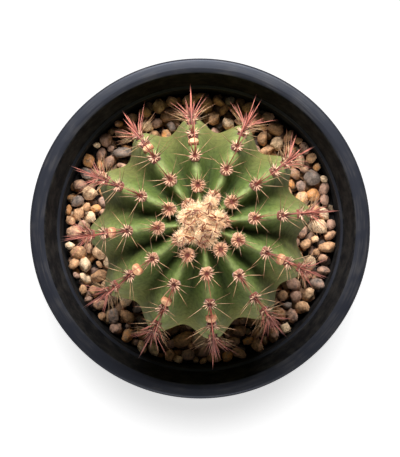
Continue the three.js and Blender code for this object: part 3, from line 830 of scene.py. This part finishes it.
def horn(name, young, old):
    """Spine horn: hard and a little glossy, its colour changing from foot to point and from young to old."""
    material, tree, shader = new_material(name, 0.42, IOR=1.54, Specular_IOR_Level=0.3)
    drift = arithmetic(tree, "MULTIPLY_ADD", grain(tree, 0.8 * MM), 0.16, attribute(tree, "along"))
    tone = blend(tree, attribute(tree, "age"), ramp(tree, drift, young), ramp(tree, drift, old))
    value = remap(tree, attribute(tree, "tint"), 0.6, 1.2)
    wire(tree, shader, Base_Color=shaded(tree, tone, value))
    return material


def discs(centre, out, spoke, size_each, section, peak, lobes):
    """Points and faces of round low forms.

    Each point of the section is turned about a form's outward axis, at size x section x lobes on its spokes.
    """
    count, sides = spoke.shape[:2]
    flat = section[:, 0][None, :, None] * lobes[:, None] * size_each[:, None, None]
    high = np.broadcast_to(section[:, 1][None, :, None] * size_each[:, None, None], flat.shape)
    rings = centre[:, None, None] + spoke[:, None] * flat[..., None] + out[:, None, None] * high[..., None]
    crest = centre + out * (peak * size_each)[:, None]
    heel = centre + out * (section[-1, 1] * size_each)[:, None]
    points = np.concatenate([rings.reshape(count, -1, 3), crest[:, None], heel[:, None]], 1)
    rows = len(section)
    return points.reshape(-1, 3), repeated(closed_faces(rows, sides), count, rows * sides + 2)


class CACTUS_OT_areoles(bpy.types.Operator):
    """Sets a felt cushion with its fringe of short hairs on each areole"""

    bl_idname = "cactus.areoles"
    bl_label = "Areole cushions"

    def execute(self, context):
        settings = context.scene.cactus_spines
        field = areoles(context.scene.cactus_stem)
        random = np.random.default_rng(settings.seed)
        count = len(field["s"])
        sides = 14
        # A low dome whose skirt is sunk in the skin: how far out and how high, as shares of its radius.
        section = np.array([(0.3, 0.27), (0.62, 0.24), (0.86, 0.14), (1, -0.04), (1.06, -0.4), (1.02, -0.95)])
        grown = along_stem(field["s"], 1.0, 0.72, 0.52, 0.48)
        size_each = settings.cushion_radius * grown * spread(random, 0.95, 1.07, count)
        turn = even_turn(sides)
        lobes = 1 + 0.06 * np.sin(3 * turn + spread(random, 0, TURN, (count, 1)))
        spoke = directions(field, np.zeros((count, sides)), np.broadcast_to(turn, (count, sides)))
        points, faces = discs(field["at"], field["out"], spoke, size_each, section, 0.28, lobes)
        # How near the middle each ring lies. The felt is darkened there as painted shade.
        heart_shade = np.concatenate([np.repeat(1 - section[:, 0] / 1.06, sides), [1, 0]])
        attributes = {"heart_shade": np.tile(heart_shade, count), "age": np.repeat(worn(field["s"]), len(heart_shade))}
        add_piece("areole_felt", points, faces, felt(settings), attributes=attributes)
        self.fringe(field, size_each, settings, random)
        return {"FINISHED"}

    def fringe(self, field, size_each, settings, random):
        """Short hairs round each cushion, longer ones on the young areoles."""
        each = 40
        shape = (len(field["s"]), each)
        bearing = spread(random, 0, TURN, shape)
        tilt = np.radians(spread(random, 8, 60, shape))
        young = 1 - smoothstep(field["s"], 16 * MM, 40 * MM)
        length = spread(random, 0.7, 1.2, shape) * MM * (0.7 + 0.9 * young)[:, None]
        direction = directions(field, tilt, bearing)
        reach = size_each[:, None] * spread(random, 0.7, 1.0, shape)
        ring = directions(field, 0 * tilt, bearing) * reach[..., None]
        root = field["at"][:, None] + ring + field["out"][:, None] * (0.08 * size_each)[:, None, None]
        count = length.size
        parts = needles(
            root.reshape(-1, 3), direction.reshape(-1, 3), length.ravel(),
            np.full(count, 0.09 * MM), np.zeros((count, 3)), sides=3, rings=2,
        )
        young_stops = [(0, settings.felt), (1, settings.blush)]
        old_stops = [(0, settings.worn_felt), (1, settings.straw)]
        finish = horn("areole hairs", young_stops, old_stops)
        age = np.repeat(worn(field["s"]), each)
        add_needles("areole_hairs", parts, finish, age, spread(random, 0.5, 1, count))


class CACTUS_OT_spines(bpy.types.Operator):
    """Grows a ring of stout spines, thin radial spines, fans and long central spines out of the areoles"""

    bl_idname = "cactus.spines"
    bl_label = "Spines"

    def execute(self, context):
        settings = context.scene.cactus_spines
        field = areoles(context.scene.cactus_stem)
        random = np.random.default_rng(settings.seed + 1)
        for kind in (self.star, self.radials, self.fans, self.centrals):
            kind(field, settings, random)
        return {"FINISHED"}

    def grow(self, name, field, spines, stops, random, bow=0.05, taper=0.75, kept=None):
        """Puts one kind of spine on every areole, from rows of bearings, tilts, lengths, radii and starts.

        A start is how far a spine's foot stands from the areole's middle.
        """
        bearing, tilt, length, radius, start = spines
        direction = directions(field, tilt, bearing)
        foot = directions(field, 0 * tilt, bearing) * np.broadcast_to(start, length.shape)[..., None]
        root = field["at"][:, None] + foot + field["out"][:, None] * 0.6 * MM
        direction = clear_of_gravel(root, direction, length)
        curve = field["out"][:, None] * (length * bow * spread(random, -1, 1, length.shape))[..., None]
        age = np.broadcast_to(worn(field["s"])[:, None], length.shape)
        kept = np.ones(length.shape, bool) if kept is None else kept
        axis = (root[kept], direction[kept], length[kept], radius[kept], curve[kept])
        parts = needles(*axis, taper=taper, rings=4)
        tint = random.random(int(kept.sum()))
        add_needles(name, parts, horn(name.replace("_", " "), *stops), age[kept], tint)

    def star(self, field, settings, random):
        """A ring of short stout pale spines over each cushion, brown at their feet."""
        s = field["s"][:, None]
        each = 12
        shape = (len(s), each)
        place = np.arange(each) / each + spread(random, -0.015, 0.015, shape)
        bearing = TURN * place + spread(random, 0, 1, (len(s), 1))
        tilt = np.radians(spread(random, 10, 30, shape))
        grown = along_stem(s, 1.0, 0.94, 0.72, 0.5)
        length = 2.5 * MM * grown * spread(random, 0.8, 1.15, shape)
        radius = 0.3 * MM * grown * spread(random, 0.85, 1.15, shape)
        start = 0.95 * MM * grown
        young = [(0.05, settings.rust), (0.4, settings.felt), (1, settings.blush)]
        old = [(0.05, settings.plum), (0.3, settings.blush), (1, settings.blush)]
        spines = (bearing, tilt, length, radius, start)
        self.grow("star_spines", field, spines, (young, old), random, bow=0, taper=0.45)

    def radials(self, field, settings, random):
        """Eight thin spines beside and below each cushion, close to the skin on the stem's sides."""
        s = field["s"][:, None]
        each = 8
        shape = (len(s), each)
        place = (np.arange(each) + 0.5 + spread(random, -0.3, 0.3, shape)) / each
        bearing = np.radians(-140 + 280 * place)
        shade = smoothstep(s, 74 * MM, 90 * MM)
        tilt = np.radians(spread(random, 14, 34, shape) * (1 - 0.65 * shade))
        length = along_stem(s, 4.8, 10.4, 10, 6) * MM * spread(random, 0.65, 1.2, shape)
        radius = settings.radial_radius * spread(random, 0.85, 1.15, shape)
        upper = [(0.5, settings.straw), (1, settings.rust)]
        young, old = [(0.1, settings.wine), *upper], [(0.15, settings.wine), *upper]
        spines = (bearing, tilt, length, radius, 1.8 * MM)
        kept = random.random(shape) < 0.88 - 0.5 * shade
        self.grow("radial_spines", field, spines, (young, old), random, taper=0.9, kept=kept)

    def fans(self, field, settings, random):
        """Stout spines to both sides of the central one, on the shoulder of the stem."""
        s = field["s"][:, None]
        side = np.array([-68, -44, 44, 68])
        shape = (len(s), len(side))
        bearing = np.radians(side + spread(random, -5, 5, shape))
        tilt = np.radians(spread(random, 30, 46, shape))
        length = along_stem(s, 3, 8, 13, 5) * MM * spread(random, 0.75, 1.1, shape)
        radius = 0.6 * settings.central_radius * spread(random, 0.85, 1.15, shape)
        stops = [(0, settings.wine), (0.3, settings.rose), (0.85, settings.rose), (1, settings.plum)]
        spines = (bearing, tilt, length, radius, 0.9 * MM)
        kept = (s > 50 * MM) & (s < 78 * MM) & (random.random(shape) < 0.85)
        self.grow("fan_spines", field, spines, (stops, stops), random, kept=kept)

    def centrals(self, field, settings, random):
        """A long spine down the rib, two shorter ones beside it and one up the rib, standing off the skin."""
        s = field["s"][:, None]
        shape = (len(s), 4)
        bearing = np.radians(np.array([0, 13, -22, 180]) + spread(random, -6, 6, shape))
        shade = smoothstep(s, 78 * MM, 92 * MM)
        raised = along_stem(s, 0, 0, 10, 4)
        tilt = np.array([27, 34, 40, 58]) + raised + spread(random, -5, 5, shape)
        tilt = np.radians(tilt * (1 - 0.4 * shade))
        longest = along_stem(s, 6, 17.5, 20, 8) * MM
        length = longest * np.array([1, 0.52, 0.42, 0.3]) * spread(random, 0.85, 1.12, shape)
        radius = settings.central_radius * np.array([1.05, 0.8, 0.7, 0.6]) * spread(random, 0.9, 1.1, shape)
        radius = radius * (0.7 + 0.3 * smoothstep(s, 14 * MM, 40 * MM))
        young = [(0, settings.wine), (0.5, settings.rust), (1, settings.wine)]
        old = [(0, settings.wine), (0.35, settings.plum), (0.8, settings.rose), (1, settings.plum)]
        spines = (bearing, tilt, length, radius, 0.4 * MM)
        self.grow("central_spines", field, spines, (young, old), random)


# ---------------------------------------------------------------- crown


def wool(settings):
    """Crown wool: loose cream fibres, tan deep between them, with no shine."""
    material, tree, shader = new_material("crown wool", 0.9, Sheen_Weight=0.5, Sheen_Roughness=0.4)
    tone = patchy(tree, grain(tree, 4 * MM, 3), 1.2, "tint", (0.55, 1.35), settings.tan, settings.cream)
    wire(tree, shader, Base_Color=tone)
    return material


def scar_skin(settings):
    """Dried bud scar: papery peach skin with a dark sunk ring."""
    material, tree, shader = new_material("dried bud scar", 0.7)
    papery = grain(tree, 1.4 * MM, 4)
    tone = patchy(tree, papery, 0.7, "ring", (0.5, 1.3), settings.scar, settings.scar_ring)
    wire(tree, shader, Base_Color=tone, Normal=relief(tree, papery, 0.4 * MM))
    return material


class CACTUS_OT_crown(bpy.types.Operator):
    """Covers the growing point with tufts of wool, and sets its young spines and the dried bud scars"""

    bl_idname = "cactus.crown"
    bl_label = "Crown wool and bud scars"

    def execute(self, context):
        settings = context.scene.cactus_crown
        spines = context.scene.cactus_spines
        field = areoles(context.scene.cactus_stem)
        random = np.random.default_rng(spines.seed + 2)
        centre, tuft_radius = self.tufts(settings, field, random)
        finish = wool(settings)
        self.cap(settings, finish, centre, tuft_radius, random)
        self.hairs(settings, finish, centre, tuft_radius, random)
        self.young_spines(spines, centre, tuft_radius, random)
        self.scars(settings, field, random)
        return {"FINISHED"}

    def tufts(self, settings, field, random):
        """Middles and radii of the tufts: a spiral over the growing point, and one behind young areoles."""
        count = 11
        turn = np.arange(count) * GOLDEN_ANGLE
        out = settings.wool_radius * np.sqrt((np.arange(count) + 0.4) / count)
        high = STEM_TOP + settings.wool_height * (1 - (out / (1.35 * settings.wool_radius)) ** 2) - 1.5 * MM
        spiral = about_axis(out, turn, high, CROWN_OFFSET)
        young = field["s"] < 12.5 * MM
        behind = field["at"][young] + field["up"][young] * 2.4 * MM + field["out"][young] * 0.3 * MM
        centre = np.concatenate([spiral, behind])
        return centre, spread(random, 2.2, 3.0, len(centre)) * MM

    def cap(self, settings, finish, centre, tuft_radius, random):
        """A low felt dome with a round tuft on each of the middles."""
        rows, columns, sides = 8, 48, 16
        share = (np.arange(rows) + 1)[:, None] / rows
        sunk = STEM_TOP - 2.2 * MM
        height = sunk + settings.wool_height * (1 - share**2)
        rings = about_axis(settings.wool_radius * 1.12 * share, even_turn(columns), height, CROWN_OFFSET)
        top = np.array([*CROWN_OFFSET, sunk + settings.wool_height])
        foot = np.array([*CROWN_OFFSET, STEM_TOP - 5 * MM])
        dome_points, dome_faces = closed_surface(rings, top, foot)
        polar = np.radians(np.array([25, 50, 75, 100, 130]))
        section = np.stack([np.sin(polar), 0.8 * np.cos(polar)], -1)
        count = len(centre)
        turn = np.broadcast_to(even_turn(sides), (count, sides))
        upward = np.broadcast_to([0.0, 0.0, 1.0], (count, 3))
        lobes = 1 + 0.12 * np.sin(2 * turn + spread(random, 0, TURN, (count, 1)))
        points, faces = discs(centre, upward, about_axis(1, turn, 0), 0.82 * tuft_radius, section, 0.8, lobes)
        faces = [*dome_faces, *[f + len(dome_points) for f in faces]]
        points = np.concatenate([dome_points, points])
        attributes = {"tint": 0.35 + 0.2 * random.random(len(points))}
        add_piece("wool_cap", points, faces, finish, attributes=attributes)

    def hairs(self, settings, finish, centre, tuft_radius, random):
        """Fine hairs that stand out all over each tuft."""
        count = settings.hair_count
        of = random.integers(0, len(centre), count)
        high = spread(random, -0.25, 1, count)
        outward = about_axis(np.sqrt(1 - high**2), spread(random, 0, TURN, count), high)
        root = centre[of] + outward * (0.7 * tuft_radius[of])[:, None]
        direction = unit(outward * np.array([1, 1, 0.55]) + 0.5 * random.normal(size=(count, 3)))
        length = spread(random, 1.4, 2.7, count) * MM
        bow = 0.5 * MM * random.normal(size=(count, 3))
        points, faces, _ = needles(root, direction, length, np.full(count, 0.13 * MM), bow, sides=3, rings=3)
        tint = np.repeat(0.55 + 0.45 * random.random(count), len(points) // count)
        add_piece("wool_hairs", points, faces, finish, attributes={"tint": tint})

    def young_spines(self, spines, centre, tuft_radius, random):
        """A few short brown spines out of each tuft, leaning together."""
        of = np.repeat(np.arange(len(centre)), 3)
        count = len(of)
        inward = unit(np.array([*CROWN_OFFSET, STEM_TOP]) - centre[of])
        direction = 0.25 * inward + random.normal(size=(count, 3)) * np.array([1, 1, 0.3])
        direction[:, 2] = np.abs(direction[:, 2]) + 0.15
        direction = unit(direction)
        reach = tuft_radius[of][:, None]
        root = centre[of] + np.array([0, 0, 1.15]) * reach + 0.2 * reach * direction
        length = spread(random, 3.2, 4.8, count) * MM
        bow = 0.15 * MM * random.normal(size=(count, 3))
        parts = needles(root, direction, length, np.full(count, 0.3 * MM), bow)
        stops = [(0, spines.rust), (0.75, spines.rust), (1, spines.wine)]
        finish = horn("young spines", stops, stops)
        add_needles("young_spines", parts, finish, np.zeros(count), random.random(count))

    def scars(self, settings, field, random):
        """Dried bud scars: two-lobed knobs with a sunk middle, astride the crest above some areoles."""
        chosen = np.array([np.flatnonzero(field["rib"] == rib)[order] for rib, order in BUD_SCARS])
        count, sides = len(chosen), 24
        # How far out and how high, as shares of the radius, and how dark the ring is there.
        out_share = [0.2, 0.45, 0.7, 0.9, 1.0, 1.05, 1.0]
        high_share = [0.12, 0.13, 0.17, 0.1, -0.04, -0.4, -1.0]
        darkness = [0.15, 0.45, 0.1, 0.25, 0.75, 1.0, 1.0]
        section = np.stack([out_share, high_share], -1)
        turn = np.broadcast_to(even_turn(sides), (count, sides))
        lobes = 1 + 0.14 * np.cos(2 * turn) + 0.08 * np.sin(3 * turn + spread(random, 0, TURN, (count, 1)))
        size_each = spread(random, 1.6, 2.1, count) * MM
        out, up, side = field["out"][chosen], field["up"][chosen], field["side"][chosen]
        centre = field["at"][chosen] + up * BUD_OFFSET
        spoke = up[:, None] * np.sin(turn)[..., None] - side[:, None] * np.cos(turn)[..., None]
        points, faces = discs(centre, out, spoke, size_each, section, 0.08, lobes)
        ring = np.tile(np.concatenate([np.repeat(darkness, sides), [0.1, 1]]), count)
        add_piece("bud_scars", points, faces, scar_skin(settings), attributes={"ring": ring})


# ---------------------------------------------------------------- gravel


def river_stone(name, settings, darkest, palest):
    """Worn river gravel: matt stones in tans, pinks, ochres and greys, veined, speckled and pitted."""
    material, tree, shader = new_material(name, 0.72, IOR=1.5)
    stops = [
        (0, settings.grey), (0.16, settings.grey), (0.27, settings.pink), (0.43, settings.tan),
        (0.58, settings.tan), (0.69, settings.cream), (0.77, settings.cream), (0.86, settings.ochre),
        (0.95, settings.ochre), (1, settings.pink),
    ]
    speckle = grain(tree, 0.8 * MM, 4, 0.7)
    vein = grain(tree, 2.2 * MM, 3)
    tone = ramp(tree, arithmetic(tree, "MULTIPLY_ADD", vein, 0.22, attribute(tree, "kind")), stops)
    value = remap(tree, arithmetic(tree, "ADD", speckle, vein), darkest, palest, (0.7, 1.3))
    wire(tree, shader, Base_Color=shaded(tree, tone, value), Normal=relief(tree, speckle, 0.4 * MM, 0.9))
    return material


def gravel_dust_and_shade(settings):
    """The dust between the stones, darkened as painted shade."""
    material, tree, shader = new_material("gravel dust bed with painted shade", 0.95)
    dust = grain(tree, 1.5 * MM, 4)
    tone = ramp(tree, dust, [(0.4, [0.4 * c for c in settings.bed]), (0.7, settings.bed)])
    wire(tree, shader, Base_Color=tone, Normal=relief(tree, dust, 0.8 * MM))
    return material


def scattered(random, count, width, stem):
    """Places and radii of stones that barely touch, largest first, between the stem and the pot."""
    wall = pot_inner_radius(STONE_LEVEL) - WALL_GAP
    radii = np.sort(width / 2 * random.lognormal(0, 0.2, count))[::-1]
    radii = np.clip(radii, 0.32 * width, 0.78 * width)
    laid = np.zeros((3, count))
    kept = 0
    for radius in radii:
        for _ in range(40):
            out = wall * math.sqrt(spread(random, 0.22, 1, None))
            angle = spread(random, 0, TURN, None)
            low = float(stem_radius_at(np.array(angle), np.array(STONE_LEVEL), stem)) + 0.75 * radius
            if not low < out < wall - 0.92 * radius:
                continue
            x, y = out * math.cos(angle), out * math.sin(angle)
            gap = np.hypot(laid[0, :kept] - x, laid[1, :kept] - y) - 0.95 * (laid[2, :kept] + radius)
            if kept == 0 or gap.min() > 0:
                laid[:, kept] = x, y, radius
                kept += 1
                break
    return laid[:, :kept]


def pebbles(x, y, z, radius, random):
    """Points and faces of rounded stones.

    In a direction d a stone reaches R (sum over its planes of max(0, d.n / h)^p + c^-p)^(-1/p), which gives
    worn flats that meet in rounded edges. It is then stretched, tipped and spun.
    """
    count, rows, sides, planes = len(x), 6, 10, 6
    power, cap = 24, 1.15
    polar = (np.arange(rows)[:, None] + 0.6) / (rows + 0.2) * math.pi
    ring = about_axis(np.sin(polar), even_turn(sides), np.cos(polar)).reshape(-1, 3)
    rays = np.concatenate([ring, [[0, 0, 1]], [[0, 0, -1]]])
    normal = unit(random.normal(size=(count, planes, 3)))
    normal = np.concatenate([normal, -normal], 1)
    depth = spread(random, 0.64, 1.1, (count, 2 * planes))
    facing = np.clip(np.einsum("vk,npk->nvp", rays, normal) / depth[:, None], 0, None)
    reach = ((facing**power).sum(2) + cap**-power) ** (-1 / power)
    reach = reach * (1 + 0.05 * random.normal(size=reach.shape))
    stretch = [spread(random, low, high, count) for low, high in ((1.0, 1.35), (0.8, 1.05), (0.7, 0.95))]
    local = rays[None] * reach[..., None] * np.stack(stretch, -1)[:, None] * radius[:, None, None]
    tip = spread(random, -0.35, 0.35, count)[:, None]
    spin = spread(random, 0, TURN, count)[:, None]
    across, along, high = local[..., 0], local[..., 1], local[..., 2]
    tipped = along * np.cos(tip) - high * np.sin(tip)
    raised = along * np.sin(tip) + high * np.cos(tip)
    px = across * np.cos(spin) - tipped * np.sin(spin) + x[:, None]
    py = across * np.sin(spin) + tipped * np.cos(spin) + y[:, None]
    points = np.stack([px, py, raised + z[:, None]], -1)
    return points.reshape(-1, 3), repeated(closed_faces(rows, sides), count, points.shape[1])


class CACTUS_OT_gravel(bpy.types.Operator):
    """Lays a bed round the stem, darkened as painted shade, and two layers of rounded stones on it, the lower
    one darkened as painted shade
    """

    bl_idname = "cactus.gravel"
    bl_label = "Gravel"

    def execute(self, context):
        settings = context.scene.cactus_gravel
        stem = context.scene.cactus_stem
        random = np.random.default_rng(settings.seed)
        self.bed(settings, stem)
        # The lower layer is the same gravel made darker all over as painted shade. The top layer is not
        # darkened.
        damp = river_stone("lower river gravel with painted shade", settings, 0.12, 0.85)
        dry = river_stone("worn river gravel", settings, 0.3, 1.62)
        levels = [("gravel_under", BED_LEVEL, 0.6, damp), ("gravel_stones", STONE_LEVEL, 1.0, dry)]
        for name, level, rise, finish in levels:
            x, y, radius = scattered(random, settings.stone_count, settings.stone_width, stem)
            z = level + spread(random, -rise, rise, len(x)) * MM - 0.15 * radius
            points, faces = pebbles(x, y, z, radius, random)
            kind = np.repeat(random.random(len(x)), len(points) // len(x))
            add_piece(name, points, faces, finish, ["gravel"], {"kind": kind}, smooth=False)
        return {"FINISHED"}

    def bed(self, settings, stem):
        """A ring between stem and pot, its inner edge following the ribs."""
        angle = even_turn(STEM_COLUMNS)
        inner = stem_radius_at(angle, np.full(len(angle), BED_LEVEL), stem) + 0.5 * MM
        top, foot, steps = BED_LEVEL - 0.8 * MM, GRAVEL_FOOT, 8
        share = np.linspace(0, 1, steps)[:, None]
        upper = inner + (pot_inner_radius(top) - WALL_GAP - inner) * share
        lower = inner + (pot_inner_radius(foot) - WALL_GAP - inner) * share[::-1]
        height = np.repeat([top, foot], steps)[:, None]
        rings = about_axis(np.concatenate([upper, lower]), angle, height)
        # The last ring closes on the first.
        rows, columns = rings.shape[:2]
        column = np.arange(columns)
        last = (rows - 1) * columns
        after = (column + 1) % columns
        seam = np.stack([last + column, column, after, last + after], -1)
        faces = [grid_faces(rows, columns), seam]
        finish = gravel_dust_and_shade(settings)
        add_piece("gravel_bed", rings.reshape(-1, 3), faces, finish, ["gravel"])


# ---------------------------------------------------------------- stage


class CACTUS_OT_stage(bpy.types.Operator):
    """Lays the pale floor and sets the soft studio light and the camera straight above the pot"""

    bl_idname = "cactus.stage"
    bl_label = "Floor, light and camera"

    def execute(self, context):
        settings = context.scene.cactus_stage
        floor = self.floor(context.scene, settings)
        self.sky(context.scene, settings)
        self.lights(context.scene, settings, floor)
        self.camera(context.scene, settings)
        return {"FINISHED"}

    def floor(self, scene, settings):
        """A white paper floor that glows a little, so that it stays white up to the pot's short shadow."""
        half = FLOOR_HALF_WIDTH
        corners = [(-half, -half, 0), (half, -half, 0), (half, half, 0), (-half, half, 0)]
        mesh = bpy.data.meshes.new("floor")
        mesh.from_pydata(corners, [], [(0, 1, 2, 3)])
        floor = bpy.data.objects.new("floor", mesh)
        scene.collection.objects.link(floor)
        material, tree, shader = new_material(
            "white paper floor", 0.9, Specular_IOR_Level=0,
            Base_Color=solid_colour(settings.floor), Emission_Color=(1, 1, 1, 1),
        )
        seen = add_node(tree, "ShaderNodeLightPath").outputs["Is Camera Ray"]
        wire(tree, shader, Emission_Strength=remap(tree, seen, settings.floor_spill, settings.floor_glow))
        mesh.materials.append(material)
        return floor

    def sky(self, scene, settings):
        """An even dim white all round, which is white where the camera sees it past the floor."""
        world = bpy.data.worlds.new("studio")
        world.use_nodes = True
        tree = world.node_tree
        background = tree.nodes["Background"]
        background.inputs["Color"].default_value = (1, 1, 1, 1)
        seen = add_node(tree, "ShaderNodeLightPath").outputs["Is Camera Ray"]
        wire(tree, background, Strength=remap(tree, seen, settings.sky, 1))
        scene.world = world

    def lights(self, scene, settings, floor):
        """A large soft key light behind the pot, a weak fill before it and a steep light on the floor."""
        only_floor = bpy.data.collections.new("floor alone")
        only_floor.objects.link(floor)
        all_but_floor = bpy.data.collections.new("all but floor")
        all_but_floor.objects.link(floor)
        all_but_floor.collection_objects[0].light_linking.link_state = "EXCLUDE"

        for name, power, elevation, side in (
            ("key", settings.key_power, settings.key_elevation, 1),
            ("fill", settings.fill_power, FILL_ELEVATION, -1),
        ):
            light = bpy.data.lights.new(name, "AREA")
            light.shape = "RECTANGLE"
            light.size = LIGHT_LENGTH
            light.size_y = LIGHT_WIDTH
            light.energy = power
            lamp = bpy.data.objects.new(name, light)
            scene.collection.objects.link(lamp)
            height = math.radians(elevation)
            away = side * LIGHT_DISTANCE * math.cos(height)
            lamp.location = (0, away, LIGHT_AIM_HEIGHT + LIGHT_DISTANCE * math.sin(height))
            lamp.rotation_euler = (-side * (math.pi / 2 - height), 0, 0)
            lamp.light_linking.receiver_collection = all_but_floor

        light = bpy.data.lights.new("floor light", "SUN")
        light.energy = settings.floor_sun
        light.angle = FLOOR_LIGHT_SPREAD
        lamp = bpy.data.objects.new("floor light", light)
        scene.collection.objects.link(lamp)
        lamp.rotation_euler = (-FLOOR_LIGHT_TILT, 0, 0)
        lamp.light_linking.receiver_collection = only_floor

    def camera(self, scene, settings):
        """A long lens over the middle of the pot, looking straight down, with +Y at the picture's top."""
        lens = bpy.data.cameras.new("camera")
        lens.sensor_width = 36
        lens.lens = lens.sensor_width * settings.camera_height / settings.view_height
        lens.clip_end = 20
        camera = bpy.data.objects.new("camera", lens)
        scene.collection.objects.link(camera)
        camera.location = (0, 0, POT_HEIGHT + settings.camera_height)
        scene.camera = camera
        scene.view_settings.view_transform = "Standard"


# ---------------------------------------------------------------- panel and registration


class CACTUS_PT_panel(bpy.types.Panel):
    """Settings and steps of the potted cactus"""

    bl_label = "Potted cactus"
    bl_space_type = "VIEW_3D"
    bl_region_type = "UI"
    bl_category = "Cactus"

    def draw(self, context):
        for group, operators in STEPS:
            settings = getattr(context.scene, group)
            box = self.layout.box()
            for label in settings.__annotations__:
                box.prop(settings, label)
            for operator in operators:
                box.operator(operator.bl_idname)


GROUPS = {
    "cactus_stage": StageSettings,
    "cactus_pot": PotSettings,
    "cactus_gravel": GravelSettings,
    "cactus_stem": StemSettings,
    "cactus_spines": SpineSettings,
    "cactus_crown": CrownSettings,
}
STEPS = [
    ("cactus_stage", [CACTUS_OT_stage]),
    ("cactus_pot", [CACTUS_OT_pot]),
    ("cactus_gravel", [CACTUS_OT_gravel]),
    ("cactus_stem", [CACTUS_OT_stem]),
    ("cactus_spines", [CACTUS_OT_areoles, CACTUS_OT_spines]),
    ("cactus_crown", [CACTUS_OT_crown]),
]
CLASSES = [*GROUPS.values(), *(operator for _, operators in STEPS for operator in operators), CACTUS_PT_panel]


def register():
    for cls in CLASSES:
        bpy.utils.register_class(cls)
    for name, group in GROUPS.items():
        setattr(bpy.types.Scene, name, PointerProperty(type=group))


def unregister():
    for name in GROUPS:
        delattr(bpy.types.Scene, name)
    for cls in reversed(CLASSES):
        bpy.utils.unregister_class(cls)


def main():
    register()
    for _, operators in STEPS:
        for operator in operators:
            group, step = operator.bl_idname.split(".")
            getattr(getattr(bpy.ops, group), step)()
    bpy.context.view_layer.update()


if __name__ == "__main__":
    main()
